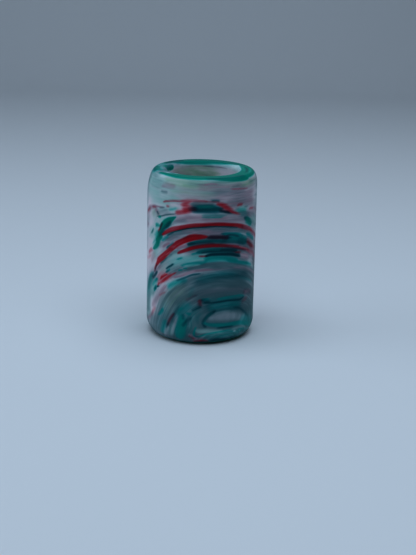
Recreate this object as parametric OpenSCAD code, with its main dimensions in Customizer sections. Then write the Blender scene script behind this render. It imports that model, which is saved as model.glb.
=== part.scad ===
// Dreadlock bead: a short hard tube that slides onto a lock of hair.
// It stands on its base, the origin is the centre of the base and +Z runs up the bore.

/* [Bead] */
// Outer diameter of the bead
bead_d = 12.5; // [11:0.1:16]
// Length of the bead, from its base to its top end
bead_l = 19.3; // [12:0.1:30]

/* [Bore] */
// Diameter of the bore that the lock passes through
bore_d = 8; // [5:0.1:9]
// How far the rounded lip at each mouth of the bore stands back from the bore's wall
lip_w = 0.42; // [0.1:0.02:0.6]
// How far down the bore the rounded lip reaches
lip_h = 0.55; // [0.1:0.05:1.2]

/* [Outer edges] */
// Width of the top edge's rounding, taken across the end
top_round_w = 0.9; // [0.3:0.1:1.4]
// Height of the top edge's rounding, taken down the side
top_round_h = 2.1; // [0.3:0.1:4]
// Width of the base edge's rounding, taken across the end
base_round_w = 1.5; // [0.3:0.1:1.5]
// Height of the base edge's rounding, taken up the side
base_round_h = 1.8; // [0.3:0.1:4]

/* [Hidden] */
$fn = 120;

// Straight steps in each rounded edge of the profile
edge_steps = 12;
// Least share of an end face that stays flat when the wall is thin
flat_share = 0.15;

bead_r = bead_d / 2;
bore_r = bore_d / 2;
wall = bead_r - bore_r;
// A rounding is never wider than its wall leaves room for
lip_room = wall / 3;
lip = min(lip_w, lip_room);
round_room = (wall - lip) * (1 - flat_share);
top_w = min(top_round_w, round_room);
base_w = min(base_round_w, round_room);

clay = [0.60, 0.70, 0.69];

// A quarter of an ellipse, w wide and h high, round a centre, from one angle to 90 degrees on
function quarter(centre, w, h, from) = [
    for (i = [0 : edge_steps])
        let (a = from + 90 * i / edge_steps)
        [centre.x + w * cos(a), centre.y + h * sin(a)]
];

// Half section through the wall: four rounded corners, joined by the base, side, top and bore
function wall_section() = concat(
    quarter([bead_r - base_w, base_round_h], base_w, base_round_h, 270),
    quarter([bead_r - top_w, bead_l - top_round_h], top_w, top_round_h, 0),
    quarter([bore_r + lip, bead_l - lip_h], lip, lip_h, 90),
    quarter([bore_r + lip, lip_h], lip, lip_h, 180)
);

module bead() {
    color(clay)
        rotate_extrude()
            polygon(wall_section());
}

bead();
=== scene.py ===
# %% [markdown]
# # A marbled clay bead for a dreadlock
# The object is a short tube of polymer clay, rolled by hand, drilled or wound round a peg, and baked
# hard. The clay was marbled first: lumps from white and mint over grey and teal to green and red were
# twisted together and rolled out, so each colour runs through the others in long streaks. The bead
# could be turned out of primitives with a few modifiers, but its colours follow the way the clay flowed
# over the side, round the rims and into the bore. So it is made here as one closed surface on a grid,
# where every point knows how far round the bead it lies and how far along the clay's skin.

import math

import bpy
import numpy as np
from mathutils import Matrix, Vector


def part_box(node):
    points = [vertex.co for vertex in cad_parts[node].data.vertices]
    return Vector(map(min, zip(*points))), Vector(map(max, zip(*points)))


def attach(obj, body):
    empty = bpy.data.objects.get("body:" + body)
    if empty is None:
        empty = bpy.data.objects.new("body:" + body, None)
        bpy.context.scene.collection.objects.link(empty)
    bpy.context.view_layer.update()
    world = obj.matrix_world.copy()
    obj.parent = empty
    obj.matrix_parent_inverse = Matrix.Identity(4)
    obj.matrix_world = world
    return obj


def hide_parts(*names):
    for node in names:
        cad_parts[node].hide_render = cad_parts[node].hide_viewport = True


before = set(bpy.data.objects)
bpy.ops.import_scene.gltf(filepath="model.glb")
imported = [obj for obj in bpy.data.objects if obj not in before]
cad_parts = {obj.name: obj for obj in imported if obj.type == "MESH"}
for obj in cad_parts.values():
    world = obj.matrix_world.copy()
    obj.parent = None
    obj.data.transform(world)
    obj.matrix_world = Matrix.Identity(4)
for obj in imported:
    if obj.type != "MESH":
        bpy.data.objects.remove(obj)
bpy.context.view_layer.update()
bead_low, bead_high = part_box("bead")
MM = 0.001
outer_radius = min(bead_high.x, -bead_low.x) / MM
full_length = (bead_high.z - bead_low.z) / MM
print(f"CAD bead: radius {outer_radius:.3f} mm, length {full_length:.3f} mm")

# %% [markdown]
# ## The camera
# A bead this small is photographed from close by, so the camera stands about 14 cm away and looks down
# a little. Its lens, distance and tilt are the ones at which the bead's outline falls where the picture
# has it. The camera is built from three directions, right, up and forward, and then stepped back from
# the middle of the bead's base.

# %% Place the camera
PICTURE = (416, 555)
BASE_IN_PICTURE = (199.5, 328.4)
lens_mm = 74.6
sensor_mm = 36.0
camera_distance = 136.1
nearest_seen_mm = 10
look_down = math.radians(16.82)
lean = math.radians(1.23)

focal_pixels = lens_mm / sensor_mm * max(PICTURE)
level_right = Vector((1, 0, 0))
level_up = Vector((0, math.sin(look_down), math.cos(look_down)))
forward = Vector((0, math.cos(look_down), -math.sin(look_down)))
right = level_right * math.cos(lean) + level_up * math.sin(lean)
up = level_up * math.cos(lean) - level_right * math.sin(lean)
aside = (BASE_IN_PICTURE[0] - PICTURE[0] / 2) / focal_pixels * camera_distance
above = (PICTURE[1] / 2 - BASE_IN_PICTURE[1]) / focal_pixels * camera_distance
camera_place = -(right * aside + up * above + forward * camera_distance) * MM

camera_data = bpy.data.cameras.new("camera")
camera_data.lens = lens_mm
camera_data.sensor_width = sensor_mm
camera_data.clip_start = nearest_seen_mm * MM
camera = bpy.data.objects.new("camera", camera_data)
turned = Matrix((right, up, -forward)).transposed().to_4x4()
camera.matrix_world = Matrix.Translation(camera_place) @ turned
bpy.context.scene.collection.objects.link(camera)
bpy.context.scene.camera = camera
print("camera at", [round(v / MM, 1) for v in camera_place], "mm")

# %% [markdown]
# ## The floor and the light
# The bead stands on a plain pale sheet that curves up behind it, as a photographer's paper sweep does.
# A profile carried sideways makes the sheet: flat, then a quarter of a circle, then upright. The light
# is soft and a little blue. A wide panel hangs over the bead, so the top end and the floor are bright
# and the side towards the camera is dimmer. A smaller panel on the left brightens that side.

# %% Make the sweep
floor_front, floor_back, sweep_radius, sweep_height, sweep_width = 0.6, 0.20, 0.08, 0.6, 1.6
bend_points = 25


def carry_sideways(profile, half_width):
    """Each profile point (y, z) becomes a line of two points at x = -half_width and +half_width."""
    steps = len(profile)
    points = np.zeros((steps, 2, 3))
    points[:, 0, 0] = -half_width
    points[:, 1, 0] = half_width
    points[:, :, 1:] = profile[:, None, :]
    first = np.arange(steps - 1) * 2
    faces = np.stack([first, first + 1, first + 3, first + 2], 1)
    return points.reshape(-1, 3), faces


bend = np.radians(np.linspace(0, 90, bend_points))
curve = np.stack([floor_back + sweep_radius * np.sin(bend), sweep_radius * (1 - np.cos(bend))], 1)
ends = (-floor_front, 0.0), (curve[-1, 0], sweep_height)
sweep_profile = np.vstack([ends[0], curve, ends[1]])
sweep_points, sweep_faces = carry_sideways(sweep_profile, sweep_width / 2)
sweep_mesh = bpy.data.meshes.new("sweep")
sweep_mesh.from_pydata(sweep_points, [], sweep_faces.tolist())
sweep_mesh.shade_smooth()
sweep = bpy.data.objects.new("sweep", sweep_mesh)
bpy.context.scene.collection.objects.link(sweep)

paper = bpy.data.materials.new("pale_paper")
paper.use_nodes = True
paper_shader = paper.node_tree.nodes["Principled BSDF"]
paper_shader.inputs["Base Color"].default_value = (0.70, 0.72, 0.74, 1)
paper_shader.inputs["Roughness"].default_value = 0.9
sweep_mesh.materials.append(paper)
print("sweep:", len(sweep_mesh.polygons), "faces, metres across:", sweep_width)

# %% Hang the lights
DAYLIGHT = (0.70, 0.84, 1.0)
sky_strength = 0.08
world = bpy.data.worlds.new("sky")
world.use_nodes = True
world.node_tree.nodes["Background"].inputs["Color"].default_value = (*DAYLIGHT, 1)
world.node_tree.nodes["Background"].inputs["Strength"].default_value = sky_strength
bpy.context.scene.world = world


def hang_panel(name, place, size, watts):
    """A square area light of a given size in metres at a place, facing the middle of the bead."""
    data = bpy.data.lights.new(name, "AREA")
    data.size = size
    data.energy = watts
    data.color = DAYLIGHT
    panel = bpy.data.objects.new(name, data)
    panel.location = place
    aim = Vector((0, 0, full_length / 2 * MM)) - Vector(place)
    panel.rotation_euler = aim.to_track_quat("-Z", "Y").to_euler()
    bpy.context.scene.collection.objects.link(panel)
    return panel


overhead = hang_panel("overhead", (0.01, -0.03, 0.19), 0.22, 0.307)
left = hang_panel("left", (-0.24, -0.02, 0.11), 0.18, 0.128)
bpy.context.scene.view_settings.view_transform = "Standard"
bpy.context.scene.view_settings.look = "Medium High Contrast"
print("panels:", [(panel.name, round(panel.data.energy, 3)) for panel in (overhead, left)], "watts")

# %% [markdown]
# ## The bead's skin
# The real bead is one closed skin: over the side, across the top, down the bore and back out at the
# base. Cut through its wall, that skin is a loop of four rounded corners. Spinning such a loop gives an
# exact body of revolution, but this bead was rolled by hand, and its top edge is rounder on the left
# than on the right and leans half a degree. So the loop is worked out afresh for every column round the
# bead, with the top edge's rounding a smooth function of the angle.

# %% Place a point on the bead
BORE_RADIUS, LIP_WIDTH, LIP_HEIGHT = 4.0, 0.42, 0.55
MOUTH_RADIUS = BORE_RADIUS + LIP_WIDTH
BASE_WIDTH, BASE_HEIGHT = 1.5, 1.8
TOP_WIDTHS, TOP_HEIGHTS = (1.02, 0.69), (3.10, 1.53)
TOP_LEAN = math.tan(math.radians(0.49))
length = full_length - TOP_LEAN * (outer_radius - TOP_WIDTHS[0])


def top_edge(turn):
    """Width and height of the top rounding, swinging from left to right with the sine of the turn."""
    rightward = 0.5 + 0.5 * np.sin(np.radians(turn))
    width = TOP_WIDTHS[0] + (TOP_WIDTHS[1] - TOP_WIDTHS[0]) * rightward
    height = TOP_HEIGHTS[0] + (TOP_HEIGHTS[1] - TOP_HEIGHTS[0]) * rightward
    return width, height


def place(turn, radius, height):
    """The point at `turn` degrees from the front, out by a radius and up by a height that leans with x."""
    x = radius * np.sin(np.radians(turn))
    y = -radius * np.cos(np.radians(turn))
    return np.stack([x, y, height - TOP_LEAN * x * height / length], -1)


print(f"height on the axis {length:.3f} mm")

# %% Shape the skin
COLUMNS = 304
BASE_STEPS, SIDE_STEPS, TOP_STEPS, END_STEPS = 28, 170, 30, 12
LIP_STEPS, BORE_STEPS, LOW_LIP_STEPS, RING_STEPS = 9, 54, 8, 4
BORE_CROWDING = 0.7


def share(steps, crowd=0.0):
    """Steps from 0 up to 1, as a column, crowded towards both ends by part of one sine wave."""
    t = np.linspace(0, 1, steps, endpoint=False)
    return (t - crowd * np.sin(2 * np.pi * t) / (2 * np.pi))[:, None]


def quarter(steps, start):
    """Cosine and sine of even angles over the 90 degrees that follow `start`, as columns."""
    angle = np.radians(start + 90 * share(steps))
    return np.cos(angle), np.sin(angle)


def skin(turn):
    """Radius and height of every row and column of the skin, in mm, before the lean.

    A column is one loop: base corner, side, top corner, end face, lip, bore, lip and base ring. A corner
    is a quarter of an ellipse round its own centre, and the rest are straight runs between corners."""
    top_w, top_h = top_edge(turn[None, :])
    even = np.ones_like(top_w)
    base_cos, base_sin = quarter(BASE_STEPS, 270)
    top_cos, top_sin = quarter(TOP_STEPS, 0)
    lip_cos, lip_sin = quarter(LIP_STEPS, 90)
    low_cos, low_sin = quarter(LOW_LIP_STEPS, 180)
    inwards = share(END_STEPS)
    radius = np.vstack([
        (outer_radius - BASE_WIDTH + BASE_WIDTH * base_cos) * even,
        outer_radius * np.ones((SIDE_STEPS, 1)) * even,
        outer_radius - top_w + top_w * top_cos,
        (outer_radius - top_w) * (1 - inwards) + MOUTH_RADIUS * inwards,
        (MOUTH_RADIUS + LIP_WIDTH * lip_cos) * even,
        BORE_RADIUS * np.ones((BORE_STEPS, 1)) * even,
        (MOUTH_RADIUS + LIP_WIDTH * low_cos) * even,
        (MOUTH_RADIUS + (outer_radius - BASE_WIDTH - MOUTH_RADIUS) * share(RING_STEPS)) * even,
    ])
    height = np.vstack([
        (BASE_HEIGHT + BASE_HEIGHT * base_sin) * even,
        BASE_HEIGHT + (length - top_h - BASE_HEIGHT) * share(SIDE_STEPS),
        length - top_h + top_h * top_sin,
        length * np.ones((END_STEPS, 1)) * even,
        (length - LIP_HEIGHT + LIP_HEIGHT * lip_sin) * even,
        (length - LIP_HEIGHT - (length - 2 * LIP_HEIGHT) * share(BORE_STEPS, BORE_CROWDING)) * even,
        (LIP_HEIGHT + LIP_HEIGHT * low_sin) * even,
        np.zeros((RING_STEPS, 1)) * even,
    ])
    return radius, height


turn = np.arange(COLUMNS) * 360 / COLUMNS - 180
radius, height = skin(turn)
skin_points = place(turn[None, :], radius, height)
rows = len(skin_points)
print(f"skin grid: {rows} rows by {COLUMNS} columns, {2 * rows * COLUMNS} triangles")

# %% Build the mesh from the grid


def closed_grid(rows, columns):
    """Quads of a grid that closes on itself both ways, wound so that they face out of the clay."""
    r, c = np.meshgrid(np.arange(rows), np.arange(columns), indexing="ij")
    right_of, above_it = (c + 1) % columns, (r + 1) % rows
    corners = r * columns + c, r * columns + right_of, above_it * columns + right_of, above_it * columns + c
    return np.stack(corners, -1).reshape(-1, 4)


def mesh_from_grid(name, points, quads):
    """Puts grid points and quads into a new mesh by foreach_set, smooth shaded."""
    mesh = bpy.data.meshes.new(name)
    mesh.vertices.add(len(points))
    mesh.vertices.foreach_set("co", points.astype(np.float32).ravel())
    mesh.loops.add(quads.size)
    mesh.loops.foreach_set("vertex_index", quads.astype(np.int32).ravel())
    mesh.polygons.add(len(quads))
    mesh.polygons.foreach_set("loop_start", np.arange(0, quads.size, 4, dtype=np.int32))
    mesh.update(calc_edges=True)
    mesh.validate()
    mesh.shade_smooth()
    return mesh


bead_mesh = mesh_from_grid("bead_skin", skin_points.reshape(-1, 3) * MM, closed_grid(rows, COLUMNS))
bead = bpy.data.objects.new("bead_skin", bead_mesh)
bpy.context.scene.collection.objects.link(bead)
print("mesh:", len(bead_mesh.vertices), "points,", len(bead_mesh.polygons), "faces")

# %% [markdown]
# ## The way the clay flowed
# Rolling drew the clay out along arches. Streaks end in combed-out tips there, and between them the
# clay is full of hair-fine lines. Both need to know the way the clay flowed. A texture could be turned
# by one angle per region, but that leaves seams, so the way is kept as a distance across the flow. On
# the side it is the distance from a point below the base, whose turn drifts a little to the left with
# the height. Close to the eye it grows with the distance from the eye, and near the top it is simply
# the height. The back of the bead is the front turned over, as on a rolled cane, so its distance is
# the same one, counted downwards.

# %% Measure across the flow
EYE = (28.0, 3.3)
EYE_WIDENESS = 2.5
EYE_CORE, EYE_GROWTH, EYE_BLEND = 3.6, 0.35, (1.0, 2.2)
ARCH_TURNS, ARCH_HEIGHT, ARCH_WIDENESS = (27.6, 17.1), -0.9, 0.94
DRIFT_HEIGHTS, LEVEL_HEIGHTS = (3.0, 11.0), (13.0, 17.0)
TURNED_OVER = 27.4
SEAM_BLEND = 0.3
RIM_BLEND = (1.8, 0.4)


def smooth_step(low, high, value):
    """0 below `low`, 1 above `high` and an S-shaped cubic between."""
    t = np.clip((value - low) / (high - low), 0, 1)
    return t * t * (3 - 2 * t)


def away_from(turn, height, centre_turn, centre_height, wideness):
    """Distance in mm over the rolled-out side from a centre, its sideways part shrunk by `wideness`."""
    sideways = (turn - centre_turn + 180) % 360 - 180
    return np.hypot(np.radians(sideways) * outer_radius / wideness, height - centre_height)


def across_front(turn, height):
    """Distance across the flow: arches, blended into the eye next to it and into the height on top."""
    drift = smooth_step(*DRIFT_HEIGHTS, height)
    centre = ARCH_TURNS[0] + (ARCH_TURNS[1] - ARCH_TURNS[0]) * drift
    arches = away_from(turn, height, centre, ARCH_HEIGHT, ARCH_WIDENESS)
    level = smooth_step(*LEVEL_HEIGHTS, height)
    arches = arches * (1 - level) + (height - ARCH_HEIGHT) * level
    eye = away_from(turn, height, *EYE, EYE_WIDENESS)
    outside = smooth_step(*EYE_BLEND, eye)
    return (EYE_CORE + EYE_GROWTH * eye ** 2) * (1 - outside) + arches * outside


step = np.hypot(np.diff(radius, axis=0), np.diff(height, axis=0))
rise = np.vstack([np.zeros((1, COLUMNS)), np.cumsum(step, axis=0)])
rise += (BASE_HEIGHT - rise[BASE_STEPS])[None, :]
turns = np.broadcast_to(turn[None, :], rise.shape)
front = smooth_step(-SEAM_BLEND, SEAM_BLEND, np.cos(np.radians(turns)))
across = front * across_front(turns, height)
across += (1 - front) * (TURNED_OVER - across_front(180 - turns, length - height))
level = smooth_step(length - RIM_BLEND[0], length - RIM_BLEND[1], rise)
across = across * (1 - level) + (rise - ARCH_HEIGHT) * level
bore_top = BASE_STEPS + SIDE_STEPS + TOP_STEPS + END_STEPS + LIP_STEPS
in_bore = (rise[bore_top:] - rise[bore_top]) / (rise[-1] - rise[bore_top])
across[bore_top:] = across[bore_top] * (1 - in_bore) + across[0] * in_bore
grain = np.stack([np.cos(np.radians(turns)), np.sin(np.radians(turns)), across], -1)
print(f"across the flow: {across.min():.2f} to {across.max():.2f} mm")

# %% [markdown]
# ## The marbling
# In the real clay each colour is a sheet folded many times, and the skin cuts through the folds as
# streaks. They rise from the left, arch over an eye low on the right and fall away again, and near the
# top they run level. A noise texture could give streaks like these, but not these streaks. So they are
# laid as threads on the skin. A row of a table gives the clay, half the thread's width, the
# softness of its edge, how much of the clay is in it, and the path. On the side a path is in degrees
# from the front and mm above the base. Several widths are spread evenly over the path. Later rows
# cover earlier ones.
#
# First come the broad fields. Above, the clay is pale: mint on the left, mauve and grey on the right. A
# colour ramp over the height could give that, but each field has a slant of its own, so the fields are
# wide and soft threads too.

# %% Broad fields of the upper part
TOP_FIELDS = [
    ("slate", 1.3, 0.8, 0.14, [(-50, 17.7), (-20, 17.6), (30, 17.5), (60, 17.4), (93, 17.2)]),
    ("mauve", 1.3, 0.8, 0.24, [(-45, 17.6), (-10, 17.7), (40, 17.5), (93, 17.2)]),
    ("mauve", 0.9, 0.7, 0.22, [(12, 17.3), (40, 17.2), (70, 17.0)]),
    ("slate", 0.9, 0.7, 0.14, [(5, 17.4), (25, 17.3), (48, 17.1)]),
    ("slate", 0.5, 0.4, 0.3, [(10, 18.4), (30, 18.3), (50, 18.1)]),
    ("mauve", 0.35, 0.3, 0.2, [(-12, 18.2), (10, 18.4), (35, 18.2), (60, 18.0)]),
    ("mint", 1.25, 0.6, 0.7, [(-93, 17.7), (-75, 17.6), (-58, 17.4), (-40, 17.3), (-28, 17.4)]),
    ("mint", 0.55, 0.35, 0.6, [(-85, 18.6), (-60, 18.6), (-30, 18.65), (0, 18.7), (22, 18.7),
        (40, 18.6)]),
    ("mint", 0.7, 0.6, 0.5, [(-62, 16.2), (-48, 16.2), (-36, 16.1), (-28, 16.0)]),
    ("mauve", 0.55, 0.4, 0.4, [(-32, 14.8), (-10, 15.0), (10, 15.0), (35, 14.8), (60, 14.4), (93, 13.2)]),
    ("slate", 0.5, 0.45, 0.08, [(-26, 14.8), (-10, 15.0), (5, 15.1)]),
    ("slate", 0.6, 0.4, 0.3, [(4, 15.05), (20, 15.0), (40, 14.8), (60, 14.3), (80, 13.4)]),
    ("mauve", 0.35, 0.25, 0.35, [(0, 14.65), (20, 14.7), (45, 14.4), (60, 13.9)]),
    ("slate", 1.0, 0.6, 0.24, [(30, 16.1), (55, 15.8), (75, 15.2), (93, 14.6)]),
    ("mauve", 1.0, 0.6, 0.3, [(30, 16.1), (55, 15.8), (75, 15.2), (93, 14.6)]),
    # pale clay at the right edge, partly a painted highlight that brightens the edge where it turns away
    ("white", 1.5, 0.5, 0.85, [(76, 17.1), (84, 16.7), (93, 16.4)]),
    ("mint", 0.6, 0.5, 0.55, [(62, 13.9), (75, 13.6), (93, 13.0)]),
    ("slate", 0.5, 0.4, 0.28, [(62, 13.4), (75, 13.2), (93, 12.7)]),
    ("mauve", 0.5, 0.4, 0.2, [(-93, 13.5), (-82, 13.7), (-72, 14.1)]),
    ("mint", 1.2, 0.8, 0.4, [(-70, 12.2), (-62, 12.6), (-55, 13.2), (-46, 14.2), (-36, 15.1)]),
    ("mint", 0.8, 0.6, 0.35, [(-62, 11.0), (-56, 11.6), (-50, 12.4), (-44, 13.4)]),
    ("slate", 0.4, 0.4, 0.22, [(-62, 14.6), (-50, 15.0), (-38, 15.4)]),
    ("slate", (0.25, 0.3, 0.35, 0.35, 0.35), 0.2, 0.55, [(-33, 12.9), (-20, 13.35), (-5, 13.6),
        (10, 13.75), (30, 13.6), (50, 13.1), (72, 12.1)]),
    ("slate", 0.6, 0.35, 0.2, [(-48, 11.2), (-42, 11.7)]),
    ("slate", 0.6, 0.35, 0.38, [(-37, 12.1), (-25, 12.9), (-10, 13.35), (8, 13.4), (25, 13.3)]),
    ("mauve", 0.5, 0.35, 0.24, [(-46, 10.9), (-36, 11.9), (-25, 12.6), (-10, 13.3), (8, 13.35),
        (25, 13.3)]),
    ("mauve", 0.25, 0.2, 0.4, [(0, 13.2), (12, 13.25), (24, 13.2)]),
]
print(len(TOP_FIELDS), "broad threads above")

# %% [markdown]
# The lower part is a lobe of grey clay, and grey and mint bands lie between it and the arcs. The lobe
# could be one blot of colour, but its clay was drawn out along the arch, so four wide threads follow
# that arch side by side and fill it.

# %% Grey bands and the lobe
LOW_FIELDS = [
    # between and under the arcs
    ("slate", 1.3, 0.4, 0.88, [(-10, 11.3), (10, 11.8), (30, 11.7), (50, 11.0), (62, 10.5)]),
    ("mauve", 1.3, 0.6, 0.36, [(58, 11.4), (72, 10.4), (93, 8.9)]),
    ("slate", 1.1, 0.6, 0.34, [(56, 11.0), (72, 10.0), (93, 8.4)]),
    ("slate", 0.4, 0.3, 0.5, [(-50, 8.5), (-42, 9.5), (-33, 10.4), (-22, 11.0)]),
    ("mint", 0.8, 0.4, 0.75, [(-46, 8.2), (-36, 9.1), (-25, 9.9), (-12, 10.3), (0, 10.45), (8, 10.5)]),
    ("teal", 0.5, 0.5, 0.12, [(-34, 9.0), (-22, 9.8), (-8, 10.1), (5, 10.3)]),
    ("slate", 0.5, 0.35, 0.6, [(-34, 8.1), (-22, 8.8), (-8, 9.2), (5, 9.5)]),
    ("slate", 0.6, 0.3, 0.75, [(-14, 9.0), (8, 9.4), (30, 9.4), (50, 8.8), (70, 7.9), (93, 6.7)]),
    ("slate", 0.7, 0.4, 0.6, [(50, 8.2), (70, 7.5), (93, 6.4)]),
    # along the left edge
    ("mint", 0.9, 0.6, 0.8, [(-93, 4.2), (-80, 4.6), (-68, 5.4), (-58, 6.3)]),
    ("slate", 0.8, 0.7, 0.42, [(-80, 4.4), (-72, 5.6), (-64, 6.7), (-57, 7.4)]),
    ("teal", 0.6, 0.6, 0.22, [(-79, 4.6), (-71, 5.8), (-63, 6.8)]),
    ("mint", 0.8, 0.5, 0.75, [(-93, 2.6), (-80, 2.9), (-68, 3.5)]),
    ("slate", 0.9, 0.7, 0.3, [(-93, 1.4), (-78, 1.7), (-64, 2.3)]),
    ("slate", 0.9, 0.6, 0.52, [(-93, 0.5), (-75, 0.8), (-60, 1.4), (-50, 2.4)]),
    # the lobe, and a line along the base
    ("slate", (1.0, 1.3, 1.3), 0.5, 0.86, [(-50, 1.0), (-42, 3.4), (-27, 5.6), (-8, 6.9), (20, 7.4),
        (50, 7.0), (72, 6.2), (93, 5.2)]),
    ("slate", 1.6, 0.5, 0.86, [(-30, 0.6), (-25, 2.6), (-10, 4.6), (12, 5.6), (40, 5.4), (65, 4.4),
        (93, 3.2)]),
    ("slate", 1.4, 0.5, 0.85, [(-15, 0.8), (5, 2.4), (30, 3.0), (60, 2.4), (93, 1.2)]),
    ("slate", 0.7, 0.5, 0.75, [(-12, 1.2), (20, 1.3), (55, 1.0), (93, 0.4)]),
    ("slate", 0.7, 0.5, 0.7, [(-93, 0.2), (-70, 0.4), (-40, 0.4), (0, 0.3), (50, 0.3), (93, 0.3)]),
    # at both side edges
    ("slate", 1.1, 0.6, 0.42, [(74, 8.9), (84, 8.4), (93, 7.8)]),
    ("slate", 2.0, 0.8, 0.5, [(76, 3.2), (84, 2.9), (93, 2.6)]),
    ("slate", 1.6, 0.8, 0.34, [(77, 1.6), (84, 2.4), (93, 2.4)]),
    ("slate", 1.2, 0.8, 0.5, [(-93, 3.0), (-84, 3.4), (-77, 3.8)]),
    ("slate", 1.4, 0.8, 0.36, [(-93, 2.6), (-84, 1.6), (-78, 1.8)]),
]
print(len(LOW_FIELDS), "broad threads below")

# %% [markdown]
# A trace of another clay tints a field here and there, as if it came off the maker's fingers. A new
# field would need new edges. A wide thread with very little clay in it shifts the tint and leaves no
# edge.

# %% Faint washes over the fields
FAINT_WASHES = [
    ("white", 0.6, 0.4, 0.4, [(-78, 2.3), (-70, 2.1), (-63, 1.7)]),
    ("slate", 0.8, 0.6, 0.25, [(-93, 3.4), (-87, 3.4), (-82, 3.6)]),
    ("white", 0.8, 0.6, 0.35, [(-93, 16.4), (-87, 16.5), (-81, 16.6)]),
    ("teal", 0.9, 0.6, 0.12, [(75, 3.6), (84, 3.0), (93, 2.7)]),
    ("red", 0.4, 0.3, 0.05, [(-18, 16.4), (-10, 16.5), (0, 16.5)]),
    ("red", 0.4, 0.3, 0.04, [(28, 16.5), (35, 16.5), (43, 16.4)]),
    ("red", 0.6, 0.4, 0.045, [(-46, 7.8), (-40, 8.7), (-34, 9.3)]),
    ("white", 0.5, 0.4, 0.16, [(-8, 8.9), (0, 9.05), (10, 9.1)]),
    ("white", 1.2, 0.7, 0.14, [(-38, 3.4), (-30, 4.9), (-20, 6.0)]),
    ("white", 0.6, 0.5, 0.12, [(-12, 7.3), (0, 7.7), (10, 7.9)]),
]
print(len(FAINT_WASHES), "faint washes")

# %% [markdown]
# ## Streaks near the top
# Under the rim the streaks are short, level and faint, as if a finger had smoothed them. Stretched noise
# could fill the zone, but some of them are wide enough to be known one by one. So these are laid as thin
# threads, and the noise of the clay itself is left to do the rest.

# %% Streaks under the rim
RIM_STREAKS = [
    ("mint", 0.7, 0.5, 0.28, [(-32, 17.7), (-15, 17.75), (0, 17.75), (12, 17.7)]),
    ("olive", 0.6, 0.5, 0.14, [(-32, 17.7), (-15, 17.75), (0, 17.75), (12, 17.7)]),
    ("mint", 0.6, 0.4, 0.35, [(-93, 18.5), (-75, 18.5), (-50, 18.4)]),
    ("slate", 0.5, 0.35, 0.48, [(-93, 18.4), (-84, 18.3), (-78, 18.3)]),
    ("slate", 0.5, 0.4, 0.16, [(-68, 18.2), (-56, 18.2), (-48, 18.2)]),
    ("olive", 0.45, 0.3, 0.4, [(-45, 18.7), (-25, 18.72), (0, 18.7), (25, 18.65), (45, 18.6),
        (70, 18.7)]),
    ("slate", 0.35, 0.3, 0.16, [(-15, 18.7), (5, 18.7), (30, 18.6), (45, 18.5)]),
    ("mauve", 0.35, 0.3, 0.35, [(-4, 18.4), (12, 18.45), (30, 18.35), (45, 18.3)]),
    ("olive", 0.4, 0.3, 0.2, [(50, 18.3), (66, 18.5), (78, 18.7)]),
    # the green of the end, where it comes over the rim
    ("green", (0.12, 0.2, 0.22, 0.22), 0.08, 0.95, [(10, 19.2), (28, 19.1), (40, 19.03), (50, 18.98),
        (60, 18.98)]),
    # short streaks
    ("slate", 0.4, 0.3, 0.2, [(60, 18.6), (70, 18.55), (80, 18.5)]),
    # a painted highlight: a white streak on the top rounding where it catches the light
    ("white", 0.12, 0.15, 0.5, [(-39, 18.5), (-30, 18.52), (-20, 18.5)]),
    ("mauve", 0.2, 0.2, 0.4, [(-46, 18.1), (-38, 18.2), (-29, 18.2)]),
    ("white", 0.35, 0.3, 0.4, [(-46, 16.9), (-40, 17.0), (-35, 17.0)]),
    ("mauve", 0.3, 0.3, 0.14, [(-33, 15.95), (-26, 16.1), (-20, 16.15)]),
    ("slate", 0.1, 0.1, 0.5, [(-45, 17.4), (-41, 17.4), (-36, 17.45)]),
    ("mint", 0.15, 0.2, 0.5, [(-60, 17.1), (-50, 17.1)]),
    ("mauve", 0.08, 0.08, 0.8, [(2, 18.62), (10, 18.75), (17, 18.68)]),
    ("mauve", 0.05, 0.08, 0.6, [(5, 18.35), (18, 18.35), (30, 18.35)]),
    ("slate", 0.06, 0.08, 0.5, [(32, 18.35), (42, 18.35)]),
    ("mauve", 0.09, 0.08, 0.9, [(31, 18.1), (40, 18.02), (55, 17.9)]),
    ("red", 0.03, 0.06, 0.3, [(31, 18.1), (40, 18.02), (55, 17.9)]),
    ("deep", 0.1, 0.12, 0.5, [(10, 16.93), (14, 16.93), (18, 16.9)]),
    # the thin red streak
    ("red", 0.08, 0.07, 0.55, [(-42, 16.3), (-35, 16.5), (-28, 16.63), (-20, 16.73), (-15, 16.8)]),
    ("red", 0.1, 0.1, 0.55, [(-22, 16.73), (-10, 16.85), (0, 16.84), (6, 16.8)]),
    ("red", 0.06, 0.1, 0.4, [(4, 16.8), (12, 16.78), (18, 16.7)]),
]
print(len(RIM_STREAKS), "streaks under the rim")

# %% [markdown]
# A dark lens of clay lies across the front, with a torn red end on either side. It could be a
# stretched circle, but then both ends would be alike. A thread that swells in the middle makes the
# lens, and red and plum threads lie over its ends.

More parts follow.
